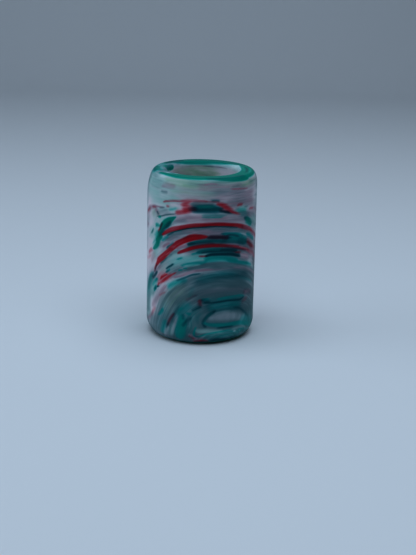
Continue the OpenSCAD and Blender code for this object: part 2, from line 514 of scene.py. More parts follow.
# %% The dark lens and its red ends
LENS = [
    # short streaks beside it
    ("red", 0.1, 0.1, 0.4, [(-39, 15.9), (-36, 15.9)]),
    ("mint", 0.2, 0.2, 0.8, [(-37, 15.65), (-30, 15.75), (-26, 15.85)]),
    ("teal", 0.1, 0.12, 0.4, [(-36, 15.55), (-31, 15.68), (-27, 15.85)]),
    ("white", 0.25, 0.2, 0.7, [(-33, 16.1), (-24, 16.2)]),
    ("slate", 0.3, 0.25, 0.5, [(-8, 16.45), (2, 16.5), (14, 16.5)]),
    ("white", 0.5, 0.3, 0.5, [(-23, 15.4), (-18, 15.8), (-14, 16.5)]),
    # the left end
    ("red", 0.36, 0.22, 0.52, [(-17, 15.8), (-15.5, 16.2), (-13, 16.6)]),
    ("red", 0.22, 0.16, 0.5, [(-27, 15.4), (-22, 15.5), (-16, 15.65), (-9, 15.85)]),
    # the lens
    ("deep", (0.26, 0.37, 0.39, 0.39, 0.26), 0.2, 0.9, [(-9, 15.85), (-3, 15.95), (6, 15.98),
        (15, 15.95), (23, 15.85)]),
    ("green", 0.12, 0.13, 0.55, [(-3, 16.18), (6, 16.24), (14, 16.22)]),
    ("teal", 0.3, 0.2, 0.35, [(-3, 16.0), (10, 16.0), (20, 15.95)]),
    # the left end, where it lies over the lens
    ("red", 0.06, 0.08, 0.5, [(-13, 15.82), (-8, 15.87), (-4, 15.87)]),
    ("plum", 0.26, 0.16, 0.5, [(-12, 15.8), (-9, 15.92), (-6, 15.92)]),
    ("red", 0.2, 0.2, 0.36, [(-14, 15.9), (-11, 16.03), (-8.5, 16.12)]),
    # the right end
    ("deep", 0.14, 0.13, 0.6, [(20, 15.8), (25, 15.65), (31, 15.5)]),
    ("red", (0.12, 0.26, 0.22, 0.1), 0.16, 0.66, [(17, 16.6), (22, 16.38), (27, 16.08), (32, 15.72),
        (37, 15.42), (43, 15.15)]),
    ("plum", 0.12, 0.12, 0.7, [(21, 15.85), (26, 15.7), (32, 15.48)]),
    ("deep", 0.06, 0.08, 0.6, [(22, 15.75), (28, 15.55), (33, 15.35)]),
    # faint lines under it
    ("plum", 0.2, 0.2, 0.06, [(13, 14.95), (20, 14.98), (27, 14.9)]),
    ("mauve", 0.25, 0.25, 0.24, [(13, 14.85), (20, 14.9), (27, 14.85)]),
    ("green", 0.1, 0.12, 0.28, [(0, 15.25), (12, 15.28), (25, 15.22)]),
    ("green", 0.05, 0.07, 0.5, [(0, 15.06), (10, 15.05), (22, 15.03)]),
]
print(len(LENS), "threads of the lens")

# %% [markdown]
# Right of the lens small lumps of red, mint, grey and green stand alone. Round spots would look stuck
# on. So each is a short thread of two to four points, which still follows the flow.

# %% Dabs on the right
RIGHT_DABS = [
    ("red", 0.11, 0.12, 0.5, [(40, 16.2), (43, 16.24), (46, 16.2)]),
    ("mint", 0.4, 0.35, 0.75, [(42, 15.65), (48, 15.55), (54, 15.5)]),
    ("green", 0.25, 0.3, 0.36, [(43, 15.6), (48, 15.5), (52, 15.4)]),
    ("slate", 0.35, 0.3, 0.42, [(44, 15.1), (50, 14.95), (56, 14.8)]),
    ("plum", 0.3, 0.3, 0.06, [(44, 15.1), (50, 14.95), (56, 14.8)]),
    ("teal", 0.2, 0.25, 0.14, [(46, 15.1), (53, 14.95)]),
    ("slate", 0.07, 0.1, 0.6, [(38, 15.82), (44, 15.78)]),
    ("slate", 0.08, 0.1, 0.6, [(50, 15.85), (56, 15.78)]),
    ("red", 0.1, 0.14, 0.27, [(60, 15.45), (64, 15.42), (68, 15.35)]),
    ("mauve", 0.12, 0.15, 0.6, [(68, 15.4), (75, 15.2), (82, 14.95)]),
    # the green dab
    ("deep", 0.2, 0.16, 0.7, [(50, 14.55), (55, 14.35), (60, 14.0), (63, 13.7)]),
    ("green", 0.28, 0.22, 0.8, [(53, 14.4), (57, 14.1), (62, 13.72)]),
    # pale clay and thin lines at the side edge; the pale clay is partly a painted highlight brightening the
    # edge
    ("white", 0.9, 0.5, 0.5, [(75, 16.9), (84, 16.4), (93, 16.1)]),
    ("mint", 0.4, 0.35, 0.5, [(63, 14.3), (72, 14.0), (82, 13.5)]),
    ("slate", 0.4, 0.3, 0.14, [(60, 14.3), (66, 14.1), (74, 13.8)]),
    ("slate", 0.08, 0.1, 0.5, [(77, 13.3), (83, 13.15), (89, 13.0)]),
]
print(len(RIGHT_DABS), "dabs on the right")

# %% [markdown]
# ## The left side
# On the left the clay is the palest, and thin mauve and red lines run in from the side edge and end
# there. A line could be drawn as a curve object on the skin, but it would stand proud of the clay. As a
# thread it lies in it.

# %% Pale clay and thin lines on the left
LEFT_LINES = [
    # pale clay
    ("white", 0.5, 0.35, 0.6, [(-61, 8.6), (-57, 9.0), (-53, 9.3)]),
    ("white", 1.1, 0.7, 0.5, [(-82, 6.0), (-72, 7.2), (-64, 8.2), (-57, 9.2)]),
    ("white", 0.5, 0.4, 0.4, [(-49, 10.7), (-44, 11.3), (-39, 11.9)]),
    ("white", 1.1, 0.5, 0.92, [(-80, 8.0), (-72, 9.6), (-67, 11.0), (-64, 13.4)]),
    # thin lines
    ("mauve", 0.24, 0.25, 0.7, [(-93, 14.1), (-86, 14.22), (-80, 14.4), (-72, 14.75), (-66, 15.05)]),
    ("red", 0.09, 0.12, 0.35, [(-78, 14.5), (-71, 14.8), (-66, 15.05)]),
    ("mauve", 0.18, 0.2, 0.7, [(-68, 15.0), (-62, 15.25), (-54, 15.38)]),
    ("red", 0.07, 0.1, 0.4, [(-62, 15.25), (-56, 15.37)]),
    ("mauve", 0.07, 0.08, 0.7, [(-64, 15.3), (-55, 15.5), (-43, 15.62)]),
    ("mauve", 0.3, 0.3, 0.14, [(-46, 14.9), (-40, 15.1), (-34, 15.2)]),
    ("slate", 0.08, 0.08, 0.5, [(-50, 15.45), (-42, 15.68)]),
    ("mauve", 0.22, 0.18, 0.8, [(-55, 15.0), (-53, 14.85), (-51, 14.65)]),
    ("deep", 0.05, 0.08, 0.35, [(-54, 14.9), (-51, 14.6)]),
    ("slate", 0.06, 0.07, 0.8, [(-53, 14.3), (-45, 14.6), (-38, 14.9), (-27, 15.17)]),
    ("green", 0.09, 0.1, 0.7, [(-51, 14.3), (-47, 14.42)]),
]
print(len(LEFT_LINES), "threads on the pale left side")

# %% [markdown]
# A green lump looks as if it was dragged out into an arrowhead with a blunt tail. One blot would lose
# its notch, so two threads whose widths swell and shrink along the path make its two halves, and darker
# ones between the halves give it a fold.

# %% The green arrowhead
ARROWHEAD = [
    # a grey shade under it
    ("slate", 0.25, 0.2, 0.26, [(-38, 13.4), (-31, 13.95), (-24, 14.4), (-14, 14.6)]),
    # the upper half and the dabs beside it
    ("green", (0.06, 0.2, 0.4, 0.5, 0.42, 0.3), 0.07, 0.95, [(-26.5, 14.87), (-30, 14.62), (-34, 14.3),
        (-38.5, 13.92), (-43, 13.48), (-45.5, 13.0)]),
    ("mint", 0.12, 0.12, 0.5, [(-49, 14.0), (-45, 14.25), (-40, 14.58)]),
    ("green", 0.12, 0.12, 0.5, [(-56, 13.3), (-51, 13.45), (-47, 13.5)]),
    ("deep", 0.2, 0.18, 0.5, [(-32, 14.2), (-36, 13.75), (-40, 13.3), (-43, 13.0)]),
    ("red", 0.1, 0.12, 0.75, [(-43.5, 13.9), (-45, 13.6), (-46.5, 13.25), (-49.5, 12.65)]),
    ("green", 0.25, 0.25, 0.5, [(-46, 12.6), (-51, 12.5), (-55, 12.15)]),
    ("mint", 0.5, 0.35, 0.75, [(-56, 12.8), (-62, 12.45), (-68, 12.2)]),
    ("green", 0.13, 0.12, 0.4, [(-62, 12.4), (-60, 12.75)]),
    ("slate", 0.12, 0.1, 0.5, [(-64, 12.3), (-58, 12.8)]),
    ("green", 0.35, 0.3, 0.12, [(-57, 11.2), (-54, 11.9), (-50, 12.6)]),
    # the lower half
    ("green", (0.3, 0.46, 0.4, 0.25, 0.28, 0.24), 0.1, 0.94, [(-42.5, 12.75), (-45.5, 12.5),
        (-48, 12.15), (-50, 11.55), (-53.5, 10.96), (-59, 10.48)]),
    ("mint", 0.16, 0.16, 0.3, [(-58, 10.75), (-55, 11.05), (-52, 11.4)]),
    ("deep", 0.2, 0.2, 0.6, [(-41.5, 12.95), (-44.5, 12.7), (-47.5, 12.4)]),
    # shades round it
    ("slate", 0.6, 0.5, 0.2, [(-93, 13.2), (-84, 13.4), (-78, 13.5)]),
    ("mauve", 0.3, 0.25, 0.45, [(-93, 13.1), (-84, 13.0), (-74, 13.0)]),
    ("mint", 0.3, 0.3, 0.45, [(-57, 10.1), (-53, 10.4), (-48, 10.8)]),
    ("white", 0.3, 0.3, 0.3, [(-63, 11.4), (-58, 12.0), (-55, 12.6)]),
    ("mint", 0.2, 0.25, 0.4, [(-64, 11.7), (-57, 12.0)]),
    ("mint", 0.3, 0.25, 0.4, [(-58, 9.9), (-54, 10.1), (-50, 10.35)]),
    ("mauve", 0.35, 0.3, 0.3, [(-62, 9.1), (-57, 9.5), (-53, 9.7)]),
    # traces of red and pale clay below it
    ("red", 0.15, 0.18, 0.42, [(-71, 9.85), (-66, 10.15), (-61.5, 10.5)]),
    ("red", 0.15, 0.2, 0.1, [(-80, 8.9), (-73, 9.15), (-67, 9.6)]),
    ("white", 0.4, 0.3, 0.2, [(-77, 9.5), (-70, 9.7), (-65, 9.8)]),
    ("olive", 0.4, 0.3, 0.1, [(-62, 14.5), (-56, 14.6), (-50, 14.6)]),
    ("red", 0.3, 0.35, 0.08, [(-72, 9.2), (-62, 9.6), (-58, 10.0)]),
]
print(len(ARROWHEAD), "threads of the arrowhead and its tail")

# %% [markdown]
# ## The red arcs
# Three red arcs catch the eye first. They look like one sheet of red clay cut at a slant: each is thick
# in one place and fine in another. A torus of colour gives an arc of even width. A thread with a width for
# every point of its path gives one that swells. The first arc spans the whole front. Under its right
# half lies a lump of teal clay.

# %% The first red arc and the teal lump under it
FIRST_ARC = [
    # between the first and the second arc
    ("white", 0.5, 0.3, 0.2, [(-42, 12.6), (-32, 13.1), (-20, 13.3), (-6, 13.4)]),
    ("mauve", 0.4, 0.3, 0.3, [(-2, 13.3), (14, 13.4), (30, 13.25), (42, 12.95)]),
    ("slate", 0.2, 0.16, 0.3, [(44, 13.2), (50, 13.0), (57, 12.75)]),
    ("mauve", 0.2, 0.15, 0.36, [(-18, 13.3), (-8, 13.35), (3, 13.45), (12, 13.4)]),
    ("deep", 0.08, 0.09, 0.55, [(-35, 12.65), (-31, 12.92), (-27, 13.17)]),
    ("teal", 0.12, 0.12, 0.6, [(-43, 11.9), (-40, 12.15), (-34, 12.6)]),
    ("slate", 0.07, 0.08, 0.4, [(-40, 11.9), (-34, 12.4), (-28, 12.8), (-18, 13.1), (-8, 13.3)]),
    # the red and its ends
    ("red", (0.26, 0.26, 0.23, 0.22, 0.22, 0.22, 0.21), 0.09, 0.96, [(-43.5, 12.62), (-38, 12.96),
        (-30, 13.4), (-20, 13.73), (-10, 14.02), (0, 14.14), (10, 14.2), (20, 14.2), (30, 14.06),
        (40, 13.87), (50, 13.52), (60, 13.13), (67, 12.75)]),
    ("mauve", 0.14, 0.12, 0.32, [(-40, 12.85), (-30, 13.4), (-20, 13.75), (-10, 14.03), (2, 14.15)]),
    ("mauve", 0.14, 0.12, 0.26, [(35, 13.98), (41, 13.84), (47, 13.65)]),
    ("plum", 0.18, 0.14, 0.28, [(45, 13.72), (50, 13.53), (56, 13.3)]),
    ("red", 0.2, 0.14, 0.5, [(62, 13.0), (70, 12.5), (76, 12.1), (84, 11.65)]),
    ("mauve", 0.2, 0.15, 0.5, [(66, 12.75), (75, 12.2), (85, 11.65), (93, 11.2)]),
    # the dark line along its lower edge
    ("deep", 0.05, 0.06, 0.75, [(-30, 13.1), (-20, 13.5), (-10, 13.8), (5, 13.98), (15, 14.0),
        (30, 13.85), (40, 13.66)]),
    ("teal", 0.06, 0.08, 0.35, [(-38, 12.75), (-28, 13.2), (-18, 13.5)]),
    # dark and teal streaks under its right half
    ("deep", 0.13, 0.12, 0.5, [(20, 13.1), (30, 13.05), (40, 12.85), (48, 12.6)]),
    ("teal", 0.14, 0.12, 0.75, [(22, 13.1), (36, 12.98), (46, 12.7)]),
    # a dark line lower down, with teal along it
    ("deep", 0.13, 0.1, 0.8, [(-12, 11.95), (-5, 12.2), (3, 12.32), (15, 12.37), (30, 12.22)]),
    ("teal", 0.1, 0.1, 0.45, [(-8, 12.15), (5, 12.35), (20, 12.4), (34, 12.3)]),
    ("teal", 0.14, 0.1, 0.5, [(-12, 11.92), (-8, 12.05), (-4, 12.17)]),
    ("deep", 0.14, 0.1, 0.35, [(-12, 11.9), (-8, 12.03), (-4, 12.15)]),
    ("plum", 0.12, 0.12, 0.25, [(-14, 11.85), (-9, 12.0), (-4, 12.1)]),
    # the teal lump
    ("deep", 0.45, 0.25, 0.42, [(24, 12.4), (34, 12.3), (44, 12.1), (52, 11.85)]),
    ("teal", 0.36, 0.25, 0.68, [(30, 12.6), (40, 12.45), (48, 12.15), (54, 11.8)]),
    ("deep", 0.25, 0.2, 0.4, [(42, 12.1), (48, 11.95), (53, 11.8)]),
    ("plum", 0.06, 0.08, 0.4, [(26, 12.95), (34, 12.9), (42, 12.6)]),
    ("deep", 0.14, 0.15, 0.2, [(55, 12.55), (62, 12.2), (70, 11.75)]),
    ("teal", 0.15, 0.16, 0.68, [(55, 12.62), (60, 12.42), (65, 12.1), (72, 11.7)]),
]
print(len(FIRST_ARC), "threads of the first arc")

# %% [markdown]
# The second arc climbs from the lower left and ends in a broad wedge, which goes over into a dark
# line. The third starts below it and runs out to the right edge, where the red fades into mauve. Both
# are made as the first one is, and the dark and mauve threads beside them give their frayed edges.

# %% The second and the third red arc
LOWER_ARCS = [
    # beside the second arc
    ("mauve", 0.3, 0.2, 0.3, [(-16, 10.8), (-10, 11.0), (-4, 11.1)]),
    ("mauve", 0.16, 0.1, 0.85, [(-26, 11.25), (-20, 11.55), (-13, 11.9)]),
    ("slate", 0.1, 0.1, 0.6, [(-48, 9.0), (-44, 9.32), (-40, 9.75), (-36, 10.1), (-31, 10.5)]),
    ("deep", 0.07, 0.07, 0.2, [(-47, 9.05), (-43, 9.4), (-38, 9.95)]),
    ("mauve", 0.13, 0.1, 0.8, [(-43, 11.1), (-39, 11.4), (-34, 11.75)]),
    ("deep", 0.1, 0.12, 0.45, [(-36, 11.25), (-33, 11.5), (-29, 11.85)]),
    ("mauve", 0.3, 0.25, 0.35, [(-55, 8.0), (-51, 8.5), (-47, 8.8)]),
    # the second arc, up to its broad end
    ("red", (0.1, 0.2, 0.32, 0.33, 0.28, 0.24, 0.24, 0.32, 0.33, 0.34, 0.38, 0.35, 0.3, 0.22), 0.07,
        0.97, [(-55.5, 8.35), (-53, 8.82), (-50, 9.33), (-45, 9.8), (-40, 10.3), (-35, 10.8),
        (-30, 11.3), (-25, 11.82), (-20, 12.13), (-15, 12.41), (-10, 12.65), (-5, 12.79), (1, 12.84),
        (8, 12.82)]),
    ("mauve", 0.15, 0.14, 0.3, [(-35, 10.85), (-30, 11.3), (-27, 11.6)]),
    ("white", 0.15, 0.14, 0.12, [(-53, 8.9), (-50, 9.35), (-43, 10.0)]),
    ("plum", 0.1, 0.1, 0.6, [(-58, 7.75), (-56, 8.1), (-54.5, 8.6)]),
    ("red", 0.12, 0.12, 0.5, [(-57.5, 8.0), (-55, 8.5), (-53, 8.95)]),
    ("deep", 0.05, 0.07, 0.5, [(-57, 8.0), (-55, 8.4), (-53, 8.8)]),
    # its dark right end
    ("deep", 0.13, 0.07, 0.6, [(8, 12.82), (15, 12.77), (22, 12.74), (34, 12.53)]),
    ("plum", 0.17, 0.12, 0.74, [(8, 12.85), (12, 12.83), (22, 12.76), (30, 12.6)]),
    # the third arc
    ("red", (0.16, 0.2, 0.18, 0.18, 0.16), 0.07, 0.96, [(-25, 10.72), (-20, 11.0), (-12, 11.38),
        (-5, 11.65), (5, 11.83), (15, 11.88), (25, 11.78), (35, 11.55), (45, 11.24), (53, 10.92)]),
    ("mauve", 0.12, 0.12, 0.42, [(-23, 10.85), (-19, 11.05), (-13, 11.33)]),
    ("slate", 0.14, 0.12, 0.28, [(20, 11.84), (28, 11.72), (37, 11.5)]),
    ("mauve", 0.14, 0.12, 0.26, [(36, 11.52), (44, 11.28), (50, 11.05)]),
    # its fading right end
    ("red", 0.15, 0.1, 0.82, [(48, 11.12), (55, 10.84), (62, 10.42), (70, 10.0), (79, 9.35)]),
    ("white", 0.14, 0.12, 0.14, [(50, 11.05), (55, 10.84), (60, 10.55)]),
    ("mauve", 0.28, 0.2, 0.7, [(60, 10.55), (70, 10.0), (80, 9.4), (93, 8.6)]),
    ("red", 0.15, 0.15, 0.25, [(60, 10.6), (66, 10.4), (74, 10.0)]),
    ("mauve", 0.07, 0.07, 0.9, [(28, 11.92), (36, 11.82), (44, 11.58)]),
]
print(len(LOWER_ARCS), "threads of the lower arcs")

# %% [markdown]
# Where a sheet of clay thins out, its edge breaks into fine lines. A noise could break it, but it would
# break every edge alike. These threads lie over the arcs on the places where they fray.

# %% Fine lines over the arcs
ARC_TRACES = [
    # dark washes along the first and the third arc
    ("deep", 0.25, 0.25, 0.05, [(-12, 14.0), (5, 14.15), (20, 14.2), (45, 13.75), (62, 13.1)]),
    ("deep", 0.25, 0.25, 0.08, [(-8, 11.6), (5, 11.83), (20, 11.85), (35, 11.55)]),
    # along the edges on the left
    ("mauve", 0.04, 0.05, 0.55, [(-49, 9.62), (-42, 10.3), (-34, 11.1)]),
    ("mauve", 0.035, 0.05, 0.5, [(-40, 10.15), (-32, 10.95), (-24, 11.75), (-15, 12.3)]),
    ("plum", 0.05, 0.07, 0.4, [(-30, 11.6), (-22, 12.25), (-12, 12.8), (0, 13.0)]),
    ("white", 0.35, 0.2, 0.14, [(-30, 11.5), (-25, 11.95), (-18, 12.3)]),
    ("plum", 0.12, 0.12, 0.25, [(-4, 12.02), (5, 12.12), (16, 12.1)]),
    ("white", 0.3, 0.2, 0.22, [(-57, 8.0), (-50, 9.3), (-42, 10.1), (-34, 10.8)]),
    ("mint", 0.3, 0.3, 0.35, [(-61, 9.5), (-56, 9.95), (-52, 10.4)]),
    ("white", 0.2, 0.2, 0.16, [(-44, 12.6), (-34, 13.2), (-22, 13.7)]),
    # on the right, where the arcs fray
    ("mauve", 0.25, 0.25, 0.3, [(30, 11.6), (45, 11.2), (60, 10.5), (76, 9.5)]),
    ("mauve", 0.3, 0.22, 0.48, [(48, 13.6), (58, 13.15), (70, 12.5), (80, 11.9)]),
    ("mauve", 0.06, 0.07, 0.6, [(24, 12.0), (34, 11.85), (44, 11.6), (52, 11.3)]),
    ("plum", 0.07, 0.08, 0.6, [(26, 11.62), (36, 11.4), (46, 11.05), (54, 10.75)]),
    ("mauve", 0.4, 0.3, 0.3, [(57, 11.7), (63, 11.2), (70, 10.8)]),
    ("plum", 0.14, 0.16, 0.42, [(56, 11.75), (60, 11.5), (64, 11.1), (68, 10.8)]),
    ("mauve", 0.35, 0.25, 0.5, [(61, 10.75), (68, 10.45), (76, 10.0)]),
    ("white", 0.06, 0.08, 0.5, [(44, 11.4), (50, 11.17), (58, 10.85)]),
    ("red", 0.2, 0.2, 0.34, [(54, 11.95), (58, 11.7), (62, 11.35), (68, 10.95)]),
    ("red", 0.2, 0.2, 0.3, [(64, 11.1), (70, 10.85), (77, 10.5)]),
]
print(len(ARC_TRACES), "fine lines over the arcs")

# %% [markdown]
# ## Bands under the arcs
# Below the third arc lie bands of nearly black and teal clay, like the folds of one sheet. A stripe
# pattern would space them evenly, and these are not even, so each band has threads of its own.

# %% Dark and teal bands under the arcs
BANDS = [
    # the upper dark band and its teal edges
    ("deep", 0.2, 0.1, 0.85, [(-4, 11.05), (5, 11.2), (15, 11.27), (25, 11.22), (35, 11.1), (42, 10.92)]),
    ("teal", 0.15, 0.12, 0.45, [(-4, 11.1), (4, 11.3), (12, 11.4), (22, 11.35)]),
    ("teal", 0.1, 0.1, 0.6, [(-9, 10.8), (-4, 10.95), (2, 11.05)]),
    ("teal", 0.05, 0.06, 0.4, [(8, 11.02), (20, 11.05), (34, 10.92)]),
    # the lower dark band
    ("deep", 0.15, 0.07, 0.95, [(3, 10.6), (10, 10.8), (18, 10.82), (25, 10.77), (33, 10.68),
        (40, 10.47), (47, 10.22)]),
    # red, mauve and white at their ends
    ("red", 0.08, 0.08, 0.6, [(-3, 10.6), (1, 10.6), (6, 10.66)]),
    ("red", 0.08, 0.08, 0.5, [(40, 10.78), (44, 10.74), (48, 10.66)]),
    ("plum", 0.06, 0.07, 0.6, [(36, 10.95), (42, 10.75), (47, 10.5)]),
    ("mauve", 0.3, 0.15, 0.6, [(47, 10.35), (53, 10.15), (60, 9.85)]),
    ("white", 0.35, 0.35, 0.5, [(47, 10.4), (55, 10.15), (62, 9.9), (70, 9.6)]),
    ("red", 0.4, 0.3, 0.04, [(47, 10.2), (56, 10.1), (66, 9.9)]),
    ("white", 0.15, 0.15, 0.3, [(60, 9.5), (66, 9.2), (72, 8.9)]),
    # teal and mint bands
    ("teal", 0.29, 0.16, 0.95, [(2, 10.15), (10, 10.28), (20, 10.3), (30, 10.15), (40, 9.85)]),
    ("mint", 0.1, 0.12, 0.25, [(3, 10.15), (14, 10.2), (26, 10.1)]),
    ("teal", 0.08, 0.08, 0.7, [(-25, 10.0), (-19, 10.32)]),
    ("teal", 0.15, 0.14, 0.78, [(-21, 9.35), (-15, 9.57), (-10, 9.68), (-5, 9.8), (0, 9.85), (5, 9.98)]),
    ("mint", 0.12, 0.12, 0.6, [(-18, 9.35), (-10, 9.5), (0, 9.65)]),
    ("teal", 0.15, 0.13, 0.82, [(27, 10.05), (35, 9.85), (45, 9.55), (52, 9.33), (60, 9.05)]),
    ("mint", 0.25, 0.25, 0.6, [(58, 9.2), (66, 8.8), (74, 8.3)]),
    ("teal", 0.12, 0.2, 0.4, [(58, 9.1), (65, 8.8)]),
    # the mauve line under them
    ("mauve", 0.15, 0.1, 0.85, [(-29, 7.9), (-20, 8.2), (-15, 8.5), (-10, 8.75), (-5, 8.92), (3, 9.05),
        (12, 9.1)]),
    ("mauve", 0.3, 0.25, 0.25, [(-33, 7.9), (-25, 8.4), (-18, 8.7)]),
    ("slate", 0.2, 0.2, 0.4, [(-14, 8.0), (-6, 8.25), (4, 8.5)]),
    ("white", 0.08, 0.1, 0.4, [(-26, 8.05), (-16, 8.5), (-6, 8.9)]),
    ("mauve", 0.1, 0.15, 0.45, [(10, 9.1), (22, 9.12), (35, 9.05), (45, 8.85)]),
    # shades at the right edge
    ("red", 0.4, 0.3, 0.06, [(74, 9.6), (82, 9.4), (93, 9.2)]),
    ("plum", 0.6, 0.4, 0.06, [(74, 9.2), (82, 8.8), (93, 8.5)]),
    ("mauve", 0.5, 0.4, 0.22, [(74, 9.2), (84, 8.8), (93, 8.6)]),
    # the mauve line again, out to the right edge
    ("mauve", 0.17, 0.15, 0.6, [(35, 9.08), (45, 8.9), (55, 8.55), (63, 8.22), (70, 7.95), (80, 7.4),
        (93, 6.8)]),
    # small dabs on the left
    ("teal", 0.06, 0.06, 0.8, [(-23, 8.83), (-18.5, 8.92)]),
    ("teal", 0.05, 0.06, 0.8, [(-17.5, 9.08), (-13.5, 9.16)]),
    ("deep", 0.1, 0.08, 0.85, [(-39.5, 8.55), (-36, 8.87), (-33, 9.1), (-30.5, 9.35)]),
    ("teal", 0.11, 0.08, 0.85, [(-38, 8.32), (-35, 8.55), (-32.5, 8.75)]),
    ("deep", 0.06, 0.08, 0.5, [(-37, 8.4), (-34, 8.6)]),
]
print(len(BANDS), "threads of the bands")

# %% [markdown]
# ## The red cluster and the lower left
# Low on the left some flakes of red lie close together with pale clay between them. Voronoi cells
# could give flakes, but not in this order. A few short red threads give them, and hair-thin white and
# mauve ones part them.

# %% The red cluster
RED_CLUSTER = [
    # the reds
    ("mauve", 0.4, 0.35, 0.12, [(-50, 7.2), (-42, 7.8), (-36, 8.2)]),
    ("red", 0.4, 0.35, 0.3, [(-50, 7.0), (-42, 7.6), (-33, 8.1)]),
    ("red", 0.13, 0.08, 0.96, [(-46, 7.45), (-42, 7.75), (-39, 7.97), (-36, 8.15)]),
    ("red", (0.13, 0.16, 0.13, 0.08, 0.06), 0.09, 0.9, [(-43, 7.2), (-38, 7.6), (-34, 7.92), (-30, 8.2),
        (-25.5, 8.52)]),
    ("red", (0.06, 0.08, 0.12, 0.12), 0.1, 0.6, [(-50, 6.5), (-47, 6.9), (-44, 7.1), (-40, 7.35)]),
    ("red", 0.26, 0.2, 0.5, [(-44, 7.35), (-40, 7.62), (-36, 7.85)]),
    # pale lines over them
    ("white", 0.5, 0.3, 0.26, [(-48, 7.0), (-40, 7.6), (-28, 8.3)]),
    ("white", 0.22, 0.2, 0.1, [(-45, 7.3), (-40, 7.65), (-35, 8.0)]),
    ("white", 0.1, 0.1, 0.3, [(-46, 6.95), (-43, 7.2), (-40.5, 7.38)]),
    ("white", 0.04, 0.05, 0.6, [(-48, 7.02), (-42, 7.52), (-36, 7.97)]),
    ("mauve", 0.05, 0.06, 0.6, [(-46, 7.2), (-40, 7.66), (-33, 8.2)]),
    ("white", 0.04, 0.05, 0.5, [(-44, 7.75), (-40, 8.05), (-36, 8.3)]),
    # a dark dab and a teal streak beside them
    ("deep", 0.1, 0.08, 0.85, [(-51.5, 6.4), (-50, 6.47), (-48, 6.5)]),
    ("mint", 0.4, 0.25, 0.8, [(-37, 6.5), (-30, 7.0), (-21, 7.6)]),
    ("teal", 0.22, 0.25, 0.5, [(-36, 6.6), (-30, 7.05), (-22, 7.5), (-15, 7.8)]),
    ("deep", 0.08, 0.1, 0.6, [(-26, 7.5), (-17, 7.98), (-9, 8.4), (0, 8.6)]),
]
print(len(RED_CLUSTER), "threads of the red cluster")

# %% [markdown]
# Below the cluster a dark green streak comes in from the side edge, and a pale one runs from the
# cluster down to the foot. A stretched noise would break them up, and they are long and even, so two or
# three threads make each of them.

# %% The lower left edge
LOWER_LEFT = [
    # the dark streak at the side edge
    ("deep", 0.25, 0.25, 0.36, [(-75, 5.2), (-71, 6.15), (-67, 6.75), (-64, 7.1), (-59.5, 7.5)]),
    ("green", 0.3, 0.25, 0.3, [(-74, 5.4), (-68, 6.55), (-62, 7.25)]),
    ("mauve", 0.1, 0.12, 0.45, [(-68, 7.4), (-63, 7.75), (-58, 8.0)]),
    ("teal", 0.28, 0.28, 0.42, [(-75, 5.1), (-70, 6.2), (-65, 6.9)]),
    ("white", 0.5, 0.4, 0.35, [(-78, 7.4), (-70, 7.7), (-62, 8.2)]),
    # mauve and dark lines at its tip
    ("mauve", 0.12, 0.08, 0.75, [(-63, 6.8), (-58, 7.25), (-55, 7.6), (-51, 8.1)]),
    ("deep", 0.12, 0.12, 0.6, [(-62, 6.95), (-58, 7.25), (-54.5, 7.65), (-52, 8.0)]),
    # teal and mint dabs under it
    ("teal", 0.16, 0.14, 0.75, [(-60, 6.1), (-56, 6.6), (-52, 7.15)]),
    ("mint", 0.4, 0.25, 0.75, [(-64, 5.2), (-59, 5.9), (-54, 6.5)]),
    ("slate", 0.35, 0.3, 0.3, [(-62, 5.0), (-56, 5.5), (-52, 6.1)]),
    ("teal", 0.13, 0.08, 0.9, [(-58, 5.6), (-55, 6.0), (-51.5, 6.3)]),
    ("deep", 0.06, 0.08, 0.6, [(-56, 5.85), (-52.5, 6.2)]),
    # the pale streak down to the foot
    ("white", 0.45, 0.3, 0.8, [(-38, 6.7), (-43, 6.25), (-49, 5.5), (-55, 4.7), (-60, 4.0), (-65, 3.2)]),
    ("mauve", 0.32, 0.25, 0.5, [(-37, 6.6), (-41.5, 6.25), (-48, 5.4), (-54, 4.6), (-59, 3.8)]),
    ("slate", 0.3, 0.25, 0.14, [(-41, 6.2), (-48, 5.3), (-55, 4.4)]),
    # traces beside it
    ("red", 0.08, 0.12, 0.3, [(-47, 5.35), (-44, 5.6), (-39, 5.95)]),
    ("red", 0.18, 0.25, 0.2, [(-62, 2.7), (-58, 3.25), (-54, 3.7)]),
    ("mauve", 0.25, 0.25, 0.28, [(-82, 1.3), (-74, 1.8), (-66, 2.25), (-61, 2.8)]),
    ("red", 0.1, 0.15, 0.1, [(-80, 1.5), (-70, 2.0), (-62, 2.7)]),
    ("mint", 0.2, 0.2, 0.5, [(-82, 2.3), (-74, 2.3), (-67, 2.6)]),
    ("mint", 0.3, 0.3, 0.4, [(-93, 2.6), (-82, 3.0), (-72, 3.5)]),
]
print(len(LOWER_LEFT), "threads on the lower left")

# %% [markdown]
# ## The lobe, the hook and the eye
# Across the grey lobe runs a teal line with a dark core, bent at its left end into a small red hook. It
# could be one thread, but its core and its glow have widths of their own, so they are laid one over the
# other.

